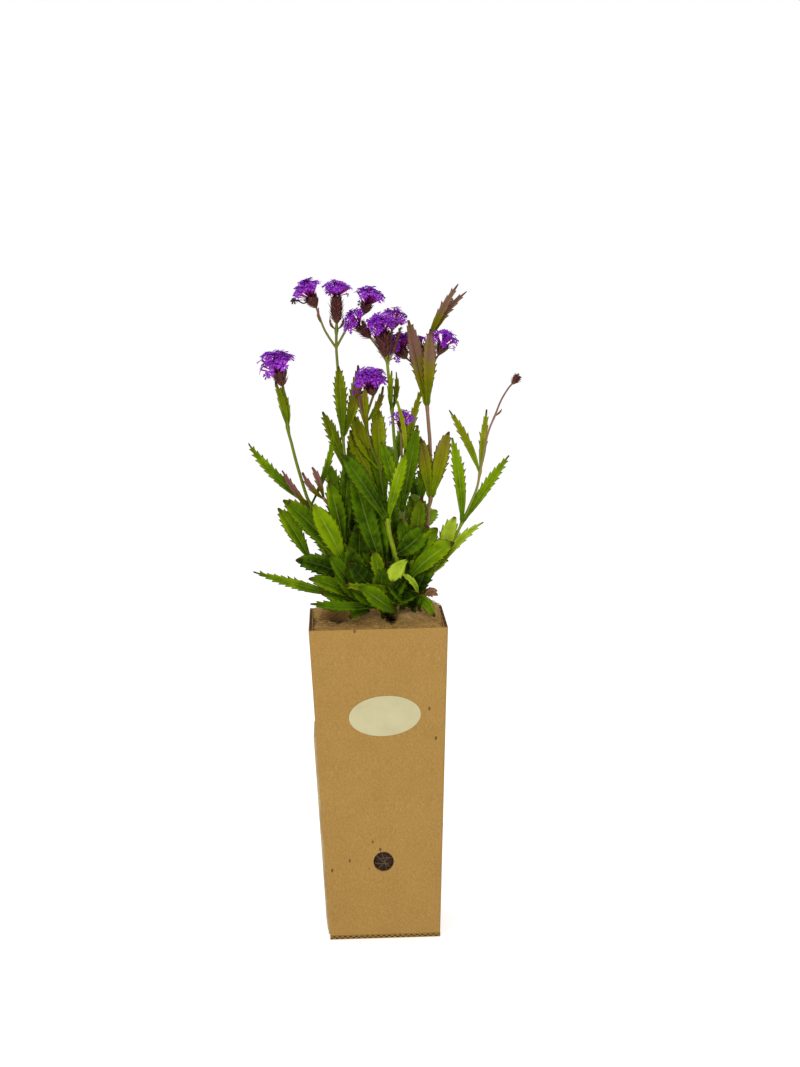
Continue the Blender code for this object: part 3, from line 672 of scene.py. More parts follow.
fibre_coat, tree, shader = new_material("loose_fibre", 0.9, specular_ior_level=0.1)
base = mix(tree, stored(tree, "shade"), (124, 92, 44), (208, 176, 116))
level = level_of(tree, own_place(tree))
# Painted shade: loose fibres darken where they lie low, below the rim.
base = mix(tree, between(tree, level, BOX_HEIGHT - 4.5 * MM, BOX_HEIGHT - 1 * MM, 0.9, 0.0), base, (40, 28, 12))
coat(tree, shader, base)

BARE_BELOW = BOX_HEIGHT - 2 * MM
FIBRES_A_SQUARE_METRE = 120000.0
MOST_HOLLOW_SHADE = 0.35
FIBRE_SEED = 4

tree, given = new_group("Geometry", "loose_fibres", "Geometry", Geometry="Geometry", Fibre="Object",
                        Density="Float", Seed="Int", Material="Material")
high_enough = maths(tree, "GREATER_THAN", level_of(tree, node(tree, "GeometryNodeInputPosition").outputs[0]),
                    BARE_BELOW)
# Fibres stand only where the mat is above its bare low parts and outside the hollow's painted shade.
spot_hollow_shade = node(tree, "GeometryNodeInputNamedAttribute", {"Name": "stain"}, data_type="FLOAT")
out_of_hollow_shade = maths(tree, "LESS_THAN", spot_hollow_shade.outputs["Attribute"], MOST_HOLLOW_SHADE)
spots = node(tree, "GeometryNodeDistributePointsOnFaces",
             {"Mesh": given["Geometry"], "Density": given["Density"], "Seed": given["Seed"],
              "Selection": times(tree, high_enough, out_of_hollow_shade)})
lean = chance_in(tree, (-0.35, -0.35, 0.0), (0.35, 0.35, math.tau), given["Seed"], "FLOAT_VECTOR")
scatter(tree, given, "Fibre", spots.outputs["Points"], lean, chance_in(tree, 0.35, 1.15, given["Seed"]))

curl = [Vector(p) * MM for p in ((-4.5, 0.3, 0), (-2.8, -0.4, 0.4), (-0.6, 0.2, 0.7), (1.6, 0.6, 0.6),
                                 (3.2, -0.2, 0.2), (4.6, -0.9, -0.3))]
fibre = strand("fibre", curl, 0.14 * MM, fibre_coat, sides=3)
fibres = grown("mat_fibres", tree, {"Fibre": fibre, "Density": FIBRES_A_SQUARE_METRE, "Seed": FIBRE_SEED,
                                    "Material": fibre_coat}, mat.data.copy())
bpy.data.objects.remove(fibre, do_unlink=True)
fibres.data.materials.clear()
fibres.data.materials.append(fibre_coat)
dress(fibres, "mulch_fibre")

# The tall stem at the left: a square green stem with two pairs of stalkless toothed leaves, and three
# flower stalks at its top. A leaf's blade is folded along its midrib and bulges between the veins
# that run to its teeth. Places are read in the photo: millimetres across and up from the rim's
# centre, on the plane that faces the camera, each with a depth behind that centre.
STEM_FOOT = BOX_HEIGHT - 26 * MM
RIM_CENTRE = Vector((0, 0, BOX_HEIGHT))
SIGHT = (LOOK_AT - EYE).normalized()
PLANE_RIGHT = SIGHT.cross(Vector((0, 0, 1))).normalized()
PLANE_UP = PLANE_RIGHT.cross(SIGHT)
BLADE = 0.32 * MM
LEAF_FOLD = 0.3
STALK_SIDES = 12
STALK_GROOVE = 0.76
NODE_SWELLING, NODE_LENGTH = 0.3, 2.2 * MM
BROAD_LEAF = 8.5
TOOTH_SPACING, NARROW_TOOTH_SPACING = 5.2, 6.5
TOOTH_JUT, TOOTH_LEAN = 1.15 * MM, 0.14
VEIN_STEP = 0.86
VEIN_SLANT = 0.075
MIDRIB = 1.0 * MM
COLUMNS = (-1, -0.7, -0.38, -0.09, 0, 0.09, 0.38, 0.7, 1)

Stem = namedtuple("Stem", "foot places width top_width flush tone low_flush", defaults=(0.0, 0.5, 0.0))
Branch = namedtuple("Branch", "places width top_width", defaults=(1.4, 1.1))
Leaf = namedtuple("Leaf", "base tip width look bend roll", defaults=("mid", (0, -2, 3), 0))

# A leaf's look: how bright its green is, how flushed with purple brown, and how dry its edge
LOOKS = {
    "pale": (1.4, 0.0, 0.6),
    "bright": (0.85, 0.0, 0.45),
    "fresh": (0.74, 0.0, 0.5),
    "mid": (0.52, 0.03, 0.7),
    # The dark look, and in part the deep one, is painted shade: it darkens the inner leaves at the plant's foot, which
    # lie in shadow.
    "deep": (0.36, 0.0, 0.7),
    "dark": (0.12, 0.0, 0.5),
    "golden": (0.64, 0.28, 0.9),
    "olive": (0.98, 0.38, 0.9),
    "bronze": (0.92, 0.62, 1.2),
    "flushed": (0.6, 0.95, 0.7),
    "young": (0.4, 1.2, 0.7),
    "scorched": (0.68, 0.08, 1.8),
    "toasted": (0.54, 0.0, 1.5),
    "withering": (0.38, 0.12, 1.9),
}


def seen(across, depth, height):
    """The point at this depth on the line of sight through a place on the picture plane."""
    place = RIM_CENTRE + (PLANE_RIGHT * across + PLANE_UP * height) * MM
    along = (depth * MM - EYE.y) / (place.y - EYE.y)
    return EYE + (place - EYE) * along


def smooth_path(places, steps=5):
    """A smooth curve through the places."""
    path = []
    for i in range(len(places) - 1):
        before = places[max(i - 1, 0)]
        a, b = places[i], places[i + 1]
        after = places[min(i + 2, len(places) - 1)]
        for s in range(steps):
            t = s / steps
            path.append(((a * 2) + (b - before) * t + (before * 2 - a * 5 + b * 4 - after) * t * t
                         + (a * 3 - before - b * 3 + after) * t * t * t) * 0.5)
    path.append(places[-1])
    return path


GROWTH_VALUES = ("tone", "flush", "dry", "under", "vein")


class Growth:
    """Gathers the points, faces, own coordinates and looks of one plant piece."""

    def __init__(self, name):
        self.name = name
        self.points, self.across, self.looks, self.faces, self.slots = [], [], [], [], []

    def add(self, point, across, tone=0.5, flush=0.0, dry=0.0, under=0.0, vein=0.0):
        self.points.append(point)
        self.across.append(across)
        self.looks.append((tone, flush, dry, under, vein))
        return len(self.points) - 1

    def face(self, corners, slot=0):
        self.faces.append(corners)
        self.slots.append(slot)

    def tube(self, rings):
        """The faces of a tube over rings of point numbers, closed at both ends."""
        for low, high in zip(rings, rings[1:]):
            for corners in bridged(low, high):
                self.face(corners)
        self.face(tuple(reversed(rings[0])))
        self.face(tuple(rings[-1]))

    def make(self, materials=()):
        mesh = bpy.data.meshes.new(self.name)
        mesh.from_pydata([tuple(p) for p in self.points], [], self.faces)
        mesh.polygons.foreach_set("material_index", self.slots)
        mesh.polygons.foreach_set("use_smooth", [True] * len(mesh.polygons))
        layer = mesh.uv_layers.new(name="growth")
        for loop in mesh.loops:
            layer.data[loop.index].uv = self.across[loop.vertex_index]
        for label, values in zip(GROWTH_VALUES, zip(*self.looks)):
            mesh.attributes.new(label, "FLOAT", "POINT").data.foreach_set("value", values)
        for material in materials:
            mesh.materials.append(material)
        turned_out(mesh)
        return put(self.name, mesh)


def add_stalk(growth, places, width, top_width, flush, tone, nodes=(), flush_low=0.0):
    """A square stem with raised corners, thinner towards its top and swollen where leaves sit."""
    path = smooth_path(places)
    lengths = [0.0]
    for a, b in zip(path, path[1:]):
        lengths.append(lengths[-1] + (b - a).length)
    rings = []
    for i, place in enumerate(path):
        ahead = (path[min(i + 1, len(path) - 1)] - path[max(i - 1, 0)]).normalized()
        side = ahead.cross(Vector((0, 1, 0))).normalized()
        front = side.cross(ahead).normalized()
        share = lengths[i] / lengths[-1]
        reach = (width + (top_width - width) * share) * MM * math.sqrt(0.5)
        for spot in nodes:
            reach *= 1 + NODE_SWELLING * math.exp(-((place - spot).length / NODE_LENGTH) ** 2)
        rings.append([])
        for s, (x, y) in enumerate(circle(1, STALK_SIDES)):
            corner = s % 3 == 0
            point = place + (side * x + front * y) * reach * (1.0 if corner else STALK_GROOVE)
            rings[-1].append(growth.add(point, (s / STALK_SIDES, lengths[i] / MM), tone,
                                        flush_low + (flush - flush_low) * share, vein=float(corner)))
    growth.tube(rings)


def leaf_outline(share, width):
    """Half the leaf's width at a share of its length, as part of its full half width."""
    share = min(max(share, 0.0), 1.0)
    broad = width > BROAD_LEAF
    turned = share ** (1.22 if broad else 1.0)
    swell = math.sin(math.pi * turned) ** ((0.6 if turned < 0.5 else 0.82) if broad else 0.8)
    clasp = 0.45 * (1 - share / 0.6) if share < 0.6 else 0.0
    return max(swell, clasp) * min(1.0, 0.5 + share / 0.05)


def add_leaf(growth, leaf, chance):
    """A toothed blade with a thin body: folded up at its midrib, bulging between its veins."""
    base, tip = seen(*leaf.base), seen(*leaf.tip)
    chord = tip - base
    middle = (base + tip) / 2 + Vector(leaf.bend) * MM
    along = chord.normalized()
    face = Vector((0, -0.85, 0.5))
    face = (face - along * face.dot(along)).normalized()
    face.rotate(Matrix.Rotation(math.radians(leaf.roll), 3, along))
    tone, flush, dry = LOOKS[leaf.look]
    tone += chance.uniform(-0.1, 0.1)
    teeth = max(4, round(chord.length / MM / (TOOTH_SPACING if leaf.width > 7 else NARROW_TOOTH_SPACING)))
    toothed_from = 0.22 if leaf.width > 9 else 0.34
    phase, sway = chance.uniform(0, 6), chance.uniform(-1, 1)
    half = leaf.width / 2 * MM
    rows = []
    for k in range(teeth):
        for step, jut, lean in ((0.0, -0.45, 0.0), (0.5, 0.0, 0.0), (VEIN_STEP, 1.0, TOOTH_LEAN)):
            rows.append(((k + step) / teeth, jut, lean, step))
    spots = []
    for edge_share, jut, lean, step in rows:
        bite = min(1, max(0, (edge_share - toothed_from) / 0.15)) * min(1, (1 - edge_share) / 0.08 + 0.3)
        jut *= bite * min(TOOTH_JUT, half * 0.32)
        juts = {-1: jut * chance.uniform(0.4, 1.7), 1: jut * chance.uniform(0.4, 1.7)}
        line = []
        for c in COLUMNS:
            slant = VEIN_SLANT * math.sin(math.pi * edge_share) * (1 - abs(c))
            share = max(0.0, edge_share - slant)
            if abs(c) == 1:
                share = min(0.995, share + lean * bite / teeth * 2.2)
            spot = (base * (1 - share) * (1 - 2 * share) + middle * 4 * share * (1 - share)
                    + tip * share * (2 * share - 1))
            ahead = base * (4 * share - 3) + middle * (4 - 8 * share) + tip * (4 * share - 1)
            ahead.normalize()
            up = (face - ahead * face.dot(ahead)).normalized()
            up.rotate(Matrix.Rotation(0.5 * sway * share * share, 3, ahead))
            side = ahead.cross(up)
            wide = half * leaf_outline(share, leaf.width)
            out = c * wide
            if abs(c) == 1:
                out += c * juts[c]
            rise = abs(c) * wide * LEAF_FOLD + 0.16 * wide * math.sin(math.pi * abs(c)) - 0.1 * wide * abs(c) ** 3
            rise += 0.13 * wide * math.sin(share * 9 + phase + (2 if c > 0 else 0)) * c * c
            vein = 1.0 if step == VEIN_STEP and 0 < abs(c) < 1 else 0.0
            bulge = 0.15 * MM if step == 0.5 else -0.06 * MM * vein
            rise += bulge * (1 - abs(2 * abs(c) - 1)) * min(1, half / (4 * MM))
            if c == 0:
                rise -= 0.1 * MM
            line.append((spot + side * out + up * rise, up, share, vein))
        spots.append(line)
    tops, unders = [], []
    for line in spots:
        top_row, under_row = [], []
        for c, (point, up, share, vein) in zip(COLUMNS, line):
            own = ((c + 1) / 2, share)
            scorch = dry * (1.5 if line[1][3] else 0.7)
            index = growth.add(point, own, tone, flush, scorch, 0.0, vein)
            top_row.append(index)
            if abs(c) == 1:
                under_row.append(index)
            else:
                thick = BLADE + (MIDRIB * (1 - 0.75 * share) * min(1, leaf.width / 9) if c == 0 else 0)
                under_row.append(growth.add(point - up * thick, own, tone, flush, scorch, 1.0, vein))
        tops.append(top_row)
        unders.append(under_row)
    last = growth.add(tip, (0.5, 1.0), tone, flush, dry)
    for r in range(len(tops) - 1):
        for c in range(len(COLUMNS) - 1):
            growth.face((tops[r][c], tops[r][c + 1], tops[r + 1][c + 1], tops[r + 1][c]), 1)
            growth.face((unders[r][c + 1], unders[r][c], unders[r + 1][c], unders[r + 1][c + 1]), 1)
    for c in range(len(COLUMNS) - 1):
        growth.face((tops[-1][c], tops[-1][c + 1], last), 1)
        growth.face((unders[-1][c + 1], unders[-1][c], last), 1)
    ring = tops[0] + unders[0][-2:0:-1]
    growth.face(tuple(reversed(ring)), 1)


def own_way(tree):
    """How far across and along its own piece a place is."""
    return node(tree, "ShaderNodeSeparateXYZ",
                {0: node(tree, "ShaderNodeUVMap", uv_map="growth").outputs[0]}).outputs


def plant_material(name, roughness, leaf):
    """Leaf or stem green that varies with the piece's own looks, its veins, edges and underside."""
    material, tree, shader = new_material(name, roughness, specular_ior_level=0.07,
                                          specular_tint=(0.85, 0.92, 0.25, 1))
    looks = {label: stored(tree, label) for label in GROWTH_VALUES}
    across, along = own_way(tree)["X"], own_way(tree)["Y"]
    place = own_place(tree)
    off_rib = maths(tree, "ABSOLUTE", maths(tree, "SUBTRACT", across, 0.5))
    tone = maths(tree, "ADD", looks["tone"], clouds(tree, place, 130.0, -0.15, 0.15))
    tone = maths(tree, "ADD", tone, clouds(tree, place, 38.0, -0.22, 0.22))
    if leaf:
        tone = maths(tree, "ADD", tone, between(tree, off_rib, 0.2, 0.46, -0.05, 0.13))
        # Painted shade: each blade is darker at its base, under the leaves above it, and lighter towards its tip.
        tone = maths(tree, "ADD", tone, between(tree, along, 0.0, 0.7, -0.16, 0.08))
    base = mix(tree, between(tree, tone, 0.0, 0.5), (20, 40, 2), (68, 98, 2))
    base = mix(tree, between(tree, tone, 0.5, 1.0), base, (114, 140, 3))
    base = mix(tree, between(tree, tone, 1.0, 1.5), base, (158, 178, 48))
    if leaf:
        base = mix(tree, times(tree, looks["under"], 0.5), base, (116, 138, 48))
        flush = times(tree, looks["flush"], between(tree, along, 0.0, 0.7, 0.2, 1.0))
        patchy = clouds(tree, place, 90.0, 0.7, 1.15)
        flush = maths(tree, "MINIMUM", times(tree, flush, patchy), 1.0)
        brown = mix(tree, between(tree, flush, 0.45, 0.85), (128, 88, 14), (122, 80, 76))
        base = mix(tree, flush, base, brown)
        rib = between(tree, off_rib, 0.014, 0.036, 1.0, 0.0)
        rib = times(tree, rib, between(tree, looks["tone"], 0.1, 0.9, 0.14, 0.5))
        rib = times(tree, rib, between(tree, looks["flush"], 0.0, 1.0, 1.0, 0.3))
        base = mix(tree, times(tree, rib, between(tree, along, 0.5, 1.0, 1.0, 0.15)), base,
                   (162, 178, 84))
        base = mix(tree, times(tree, looks["vein"], 0.055), base, (140, 160, 50))
        ragged = clouds(tree, place, 260.0, -0.05, 0.06)
        rim = between(tree, maths(tree, "ADD", off_rib, ragged), 0.44, 0.5)
        end = between(tree, maths(tree, "ADD", along, times(tree, ragged, 1.2)), 0.86, 0.98)
        edge = times(tree, maths(tree, "MAXIMUM", rim, end), looks["dry"])
        edge = maths(tree, "MINIMUM", edge, 0.92)
        base = mix(tree, edge, base, (66, 28, 18))
    else:
        base = mix(tree, 0.35, base, (128, 132, 34))
        blush = maths(tree, "MAXIMUM", maths(tree, "MINIMUM", looks["flush"], 1.0), 0.0)
        mauve = mix(tree, between(tree, looks["flush"], 1.0, 1.5), (144, 94, 88), (100, 58, 66))
        base = mix(tree, blush, base, mauve)
        base = mix(tree, times(tree, looks["vein"], 0.25), base, (160, 164, 84))
        # Painted shade: stems darken towards their foot at the mat, where the foot of the plant lies in shadow.
        base = mix(tree, between(tree, level_of(tree, place), BOX_HEIGHT, BOX_HEIGHT + 34 * MM, 0.94, 0.0), base,
                   (27, 24, 9))
    coat(tree, shader, base, 1500.0, 0.35, 0.0003)
    return material


leaf_green = plant_material("leaf_blade", 0.46, True)
stem_green = plant_material("square_stem", 0.5, False)


def grow_shoot(name, seed, stem, leaves, branches=()):
    """One leafy shoot in place of its solid: its stem, its branches and its leaves."""
    growth = Growth(name + "_grown")
    chance = random.Random(seed)
    foot = Vector((stem.foot[0] * MM, stem.foot[1] * MM, STEM_FOOT + 0.5 * MM))
    knees = [foot, Vector((foot.x, foot.y, BOX_HEIGHT + 4 * MM))]
    sits = [seen(*leaf.base) for leaf in leaves]
    add_stalk(growth, knees + [seen(*place) for place in stem.places], stem.width, stem.top_width, stem.flush,
              stem.tone, sits, stem.low_flush)
    for branch in branches:
        add_stalk(growth, [seen(*place) for place in branch.places], branch.width, branch.top_width,
                  stem.flush + 0.5, stem.tone, (), stem.flush)
    for leaf in leaves:
        add_leaf(growth, leaf, chance)
    shoot = growth.make([stem_green, leaf_green])
    dress(shoot, "leaf_green", name)


grow_shoot(
    "shoot_left_tall", 11,
    Stem((-9, 12), [(-17, 12, 60), (-21, 12, 115), (-23, 11, 130), (-24, 10, 146), (-27, 9, 200), (-27.7, 9, 217),
                    (-27, 9, 236)], 2.0, 1.5, 0.12),
    [Leaf((-24, 9, 145), (-26.5, 1, 201), 10, "golden"),
     Leaf((-23.5, 9, 145), (-10.5, 14, 201.5), 9.5, "bronze", (3, 2, 0)),
     Leaf((-21, 13, 114), (-40, 16, 165), 9, "golden"), Leaf((-21, 13, 114), (-11, 40, 158), 9),
     Leaf((-17, 13, 58), (-24, 46, 86), 11, "mid", (0, 0, 5)), Leaf((-17, 11, 58), (-15, -16, 92), 11, "deep"),
     Leaf((-14, 13, 30), (-20, 48, 44), 12, "deep", (0, 0, 5)),
     Leaf((-40, 8, 236), (-41, 4, 248), 2.2, "young", (-1, -1, 0)),
     Leaf((-27.5, 9, 230), (-32, 3, 241), 2.2, "young", (-2, 0, -1)),
     Leaf((-27, 9, 230), (-22, 14, 240), 2.2, "young", (2, 0, -1))],
    [Branch([(-27.5, 9, 215), (-34, 8, 225), (-38, 8, 233), (-43, 8, 248)]),
     Branch([(-27.5, 9, 216), (-23.6, 10, 223), (-17, 11, 233), (-5, 12, 242)])])

# The tall stem in the middle: narrow leaves that hug it, and four short flower stalks at its top,
# from the thickest of which the big brown spike stands.
grow_shoot(
    "shoot_centre_tall", 12,
    Stem((9, 8), [(15, 7, 60), (18, 5, 124), (17, 5, 137), (15.5, 4, 166), (14, 3, 185), (12.4, 2, 205)], 2.2, 1.6,
                  0.0, 0.8),
    [Leaf((15, 3, 165), (16.2, -1, 196.5), 4.5, "golden", (-1, -1, 0)),
     Leaf((16, 4, 165), (19.5, 8, 195.5), 5, "golden", (2, 0, 0), -30), Leaf((18, 6, 122), (27, 30, 158), 8),
     Leaf((18, 6, 122), (8, 42, 136), 9, "deep"), Leaf((15, 7, 60), (22, 40, 88), 12, "mid", (0, 0, 5)),
     Leaf((15, 6, 60), (12, -14, 96), 11, "deep"), Leaf((12, 8, 34), (4, 42, 50), 12, "deep", (0, 0, 5))],
    [Branch([(12.6, 2, 203), (6, 3, 214), (-0.5, 4, 223)]),
     Branch([(12.5, 2, 203), (16, 9, 216), (17, 12, 229)], 1.3, 1.1),
     Branch([(12.6, 2, 202), (15, -1, 206), (17, -2, 210)], 1.3, 1.1),
     Branch([(12.4, 2, 203), (12, 0, 205.5), (11.8, -1, 208)], 1.6, 1.4)])

# The tall mauve stem at the right, flushed like its leaves: olive at the foot of each blade and
# purple brown towards its tip. A side shoot stands behind it with one narrow pair.
grow_shoot(
    "shoot_right_tall", 13,
    Stem((28, 5), [(33, 4, 29), (38.9, 3, 59), (41.6, 3, 74), (43, 3, 86), (45, 3, 97), (45.2, 3, 137), (44.6, 3, 150),
                   (43.5, 3, 170), (43, 5, 192)], 2.8, 1.8, 0.95, 0.5, 0.3),
    [Leaf((44, 2, 95), (37, -3, 143.5), 11.5, "bronze"), Leaf((46, 2, 95), (60.6, -2, 147), 12.5, "bronze"),
     Leaf((43, 2, 168), (30, 5, 236.5), 11.5, "flushed"), Leaf((44, 2, 168), (47.7, -6, 229), 10.5, "flushed"),
     Leaf((45, 19, 219), (70.7, 18, 264.5), 6, "flushed", (-1, 0, 1)),
     Leaf((45.6, 19, 219), (77.4, 24, 258.3), 6, "flushed", (-2, 0, 2)), Leaf((41.6, 4, 74), (35, 40, 92), 9),
     Leaf((41.4, 4, 74), (29, 38, 98), 9), Leaf((33, 5, 29), (38, 38, 50), 12, "mid", (0, 0, 5)),
     Leaf((32, 3, 27), (24, -14, 66), 13, "deep")],
    [Branch([(43, 5, 190), (35, 13, 200), (28, 16, 206)]),
     Branch([(43, 5, 190), (42, 11, 198), (41, 14, 205)], 1.3, 1.1),
     Branch([(43, 5, 190), (48.5, 4, 201), (53.5, 2, 208)]),
     Branch([(43.5, 4, 171), (44, 14, 200), (45.5, 19, 222)], 1.8, 1.3)])

# The thin stem that leans out at the right, green below and mauve above, with three pairs of
# leaves and a closed bud at its end.
grow_shoot(
    "shoot_right_arching", 14,
    Stem((33, -8), [(40, -7, 29), (52.7, -8, 41), (60, -8, 55), (69.6, -8, 74.6), (77, -8, 90), (82, -8, 102),
                    (84.6, -8, 114), (91, -8, 143), (98, -8, 160), (102.7, -8, 171), (108.4, -8, 180), (112, -8, 184)],
                    2.2, 0.9, 1.5, 0.9, -1.5),
    [Leaf((84.6, -8, 113), (60.9, -10, 164), 6.4, "olive", (1, 0, 2)),
     Leaf((84.6, -8, 113), (91, -5, 164), 5.8, "olive", (0, 0, 0)),
     Leaf((69.4, -9, 74), (62.8, -16, 142), 9, "fresh", (2, -2, 0)),
     Leaf((69.6, -8, 74), (108, -4, 127), 8, "fresh", (1, 0, 2)),
     Leaf((52.7, -9, 41), (86.6, -16, 74), 7, "pale", (-2, -2, 3)),
     Leaf((52.7, -8, 42), (64, -6, 79), 13, "pale", (-1, 0, 2)),
     Leaf((97, -8, 158), (103, -8, 164), 1.6, "young", (1, 0, 0))])

# A dead leaf at the foot of that stem: dry, light brown and curled in at its sides.
husk_skin, tree, shader = new_material("dry_leaf", 0.75, specular_ior_level=0.12)
base = mix(tree, clouds(tree, own_place(tree), 260.0), (140, 96, 66), (196, 146, 108))
base = mix(tree, clouds(tree, own_place(tree), 900.0, 0.0, 0.4), base, (110, 72, 52))
coat(tree, shader, base, 700.0, 0.5, 0.0005)
husk = Growth("dry_leaf")
add_leaf(husk, Leaf((36, -12, 18.5), (49, -14, 16.5), 7, "dark", (0, -1, 2), 35), random.Random(5))
add_leaf(husk, Leaf((48.5, -15, 20), (38, -16, 16), 6, "dark", (0, -1, 2), -20), random.Random(6))
dress(husk.make([stem_green, husk_skin]), "leaf_green")

# The stem that leans left: a pair of leaves folded round it under its flower head, a longer pair
# lower down, and one small purple leaf.
grow_shoot(
    "shoot_left_leaning", 15,
    Stem((-14, -1), [(-20, -2, 16), (-36, -2, 42), (-48, -3, 78), (-51, -3, 91), (-54, -3, 98), (-61, -4, 123),
                     (-65, -4, 140), (-67.8, -4, 153), (-71, -4, 186)], 2.3, 1.5),
    [Leaf((-67.8, -4, 152), (-77, -8, 190), 6, "golden", (1, 0, 0)),
     Leaf((-67.6, -4, 152), (-70, 2, 182), 4.5, "olive", (1, 0, 0)),
     Leaf((-51, -3, 90), (-99.5, -8, 141), 7.5, "mid", (-4, 0, 0)),
     Leaf((-51, -3, 90), (-31, 4, 156), 6, "fresh", (4, 2, 0), 45),
     Leaf((-71, -4, 182), (-77, -9, 190), 2.2, "young", (-2, 0, -1)),
     Leaf((-49, -4, 84), (-73, -10, 119), 5, "young", (-3, 0, 2)),
     Leaf((-36, -2, 42), (-44, 26, 66), 11, "mid", (0, 0, 4)),
     Leaf((-20, -2, 16), (-30, 26, 34), 12, "deep", (0, 0, 4))])

# The middle stem behind the front leaves: broad olive leaves low down, small brown ones under its
# flower head.
grow_shoot(
    "shoot_middle", 16,
    Stem((7, 23), [(10, 24, 80), (6, 22, 104), (5, 20, 118), (1, 18, 129), (-3, 16, 141), (-5, 14, 158), (1, 12, 177)],
                   1.9, 1.4, 0.3),
    [Leaf((-5, 14, 156), (-6, 6, 184), 5, "bronze"), Leaf((-5, 14, 156), (9, 20, 184), 5, "bronze", (2, 0, -2)),
     Leaf((-4, 15, 146), (-11, 12, 181), 6, "flushed"), Leaf((5, 20, 118), (-16, 24, 164), 14, "olive", (-3, 0, 0)),
     Leaf((5, 20, 116), (4, 24, 168), 12, "olive"), Leaf((7, 22, 100), (-18, 20, 150), 14, "olive", (-3, 0, 0)),
     Leaf((8, 22, 92), (1, 26, 148), 15), Leaf((9, 23, 84), (-14, 28, 136), 14),
     Leaf((9, 24, 60), (-8, 54, 90), 13, "mid", (0, 2, 5)), Leaf((9, 24, 60), (24, 52, 94), 13, "deep", (0, 2, 5)),
     Leaf((8, 23, 36), (6, 58, 52), 13, "deep", (0, 2, 5)), Leaf((8, 22, 36), (-2, -4, 78), 14, "dark")])

# The short pale stem in front, with a dark leaf to the left and a bright one to the right.
grow_shoot(
    "shoot_front", 17,
    Stem((21, -17), [(19, -18, 30), (16.6, -19, 46), (14.2, -19, 55), (11.4, -19, 66), (9.8, -19, 79)], 3.2, 2.6, 0.0,
                     1.1),
    [Leaf((9.8, -19.5, 77), (-26, -40, 131), 16, "deep", (-2, -5, 5)),
     Leaf((10.3, -19, 77), (26, -26, 130), 9.5, "bright"),
     Leaf((16, -18.5, 50), (42.5, -24, 72), 19, "deep", (0, -2, -2)),
     Leaf((20, -19, 22), (-27, -46, 27), 8, "scorched", (0, -10, 0)),
     Leaf((15.5, -24, 4), (-13.5, -46, 25.5), 17, "mid", (0, -9, 1))])

# The slim stem just behind it, with two broad leaves, two narrow ones and a small flower head.
grow_shoot(
    "shoot_inner", 18,
    Stem((19, -6), [(22, -5, 60), (22.6, -5, 84), (22.6, -4, 120), (22.4, -4, 147)], 2.0, 1.3, 0.5),
    [Leaf((22, -6, 84), (36, -14, 152.5), 12), Leaf((21, -6, 86), (6.5, -10, 140), 10, "fresh"),
     Leaf((24.6, -6, 122), (17.5, -12, 178), 3.8, "olive", (3.3, -7, 0)),
     Leaf((23.6, -4, 120), (40.5, 12, 184), 6, "olive", (-1, 6, 0))])

# A thin young shoot at the left, dark purple with two small leaves.
grow_shoot(
    "shoot_young", 19,
    Stem((-8, -8), [(-14, -8, 35), (-25, -11, 65), (-30, -11, 79), (-41, -11, 97)], 1.5, 1.2, 1.0),
    [Leaf((-40, -11, 95), (-57, -15, 117), 5, "young", (-2, 0, -1)), Leaf((-40, -11, 95), (-49, -8, 121), 5, "young")])

# The short leafy shoots that fill the foot of the plant, with the broadest leaves; their many dark leaves are
# painted shade, for the shadow deep in the plant's foot. The two at the back are not seen in the photo and follow
# those in front.
grow_shoot(
    "leaves_left", 20,
    Stem((-6, -18), [(-13, -18, 14), (-24, -19, 42), (-25, -18, 60)], 2.2, 2.0),
    [Leaf((-13, -19, 14), (-54, -30, 32), 14), Leaf((-15, -19, 16), (-37, -38, 50), 13, "deep"),
     Leaf((-24, -19, 41), (-49, -30, 91), 17, "bright"), Leaf((-24, -19, 42), (-73, -24, 95), 18, "mid", (-2, 0, 6)),
     Leaf((-22, -18, 32), (-64, -24, 47), 16, "dark"), Leaf((-25, -18, 58), (-36, -22, 110), 14),
     Leaf((-25, -18, 58), (-20, -12, 126), 12, "deep"),
     Leaf((-28, -12, 18), (-98, -8, 38.5), 8, "mid", (2, 0, -1), -42), Leaf((-52, -10, 46), (-77, -12, 89), 12),
     Leaf((-7, -20, 5), (-22, -38, 0), 9, "deep"), Leaf((-10, -20, 8), (-44, -30, 20), 16, "deep"),
     Leaf((-8, -20, 8), (-34, -30, 40), 18, "dark"), Leaf((-14, -14, 14), (-12, -14, 78), 20, "dark"),
     Leaf((-8, -18, 8), (-22, -26, 58), 18, "dark"), Leaf((-20, -14, 30), (-36, -10, 86), 18, "dark")],
    [Branch([(-8.5, -18, 9), (-28, -12, 18), (-42, -10, 35), (-52, -10, 47)], 2.0, 1.6)])
grow_shoot(
    "leaves_front", 21,
    Stem((4, -28), [(5, -28, 14), (6, -27, 25), (8, -26, 38)], 2.0, 2.0),
    [Leaf((5, -28, 10), (-53, -46, 12), 9, "deep", (0, -4, -1)), Leaf((5, -27, 22), (-2, -42, 53), 11, "scorched"),
     Leaf((7, -25, 36), (-17, -20, 122), 18, "deep", (-2, 2, 0)),
     Leaf((8, -25, 37), (-3, -14, 100), 16, "deep", (0, 4, 3)),
     Leaf((4, -26, 6), (-22, -32, 44), 17, "dark", (0, -2, 4)),
     Leaf((7, -24, 8), (34, -36, 17), 11, "dark", (0, -2, 2)), Leaf((5, -27, 6), (-20, -38, 22), 15, "dark"),
     Leaf((6, -26, 8), (24, -38, 32), 16, "dark"), Leaf((6, -22, 10), (-6, -12, 66), 20, "dark"),
     Leaf((8, -22, 10), (17, -8, 68), 18, "dark"), Leaf((5, -26, 6), (4, -36, 40), 16, "dark")])
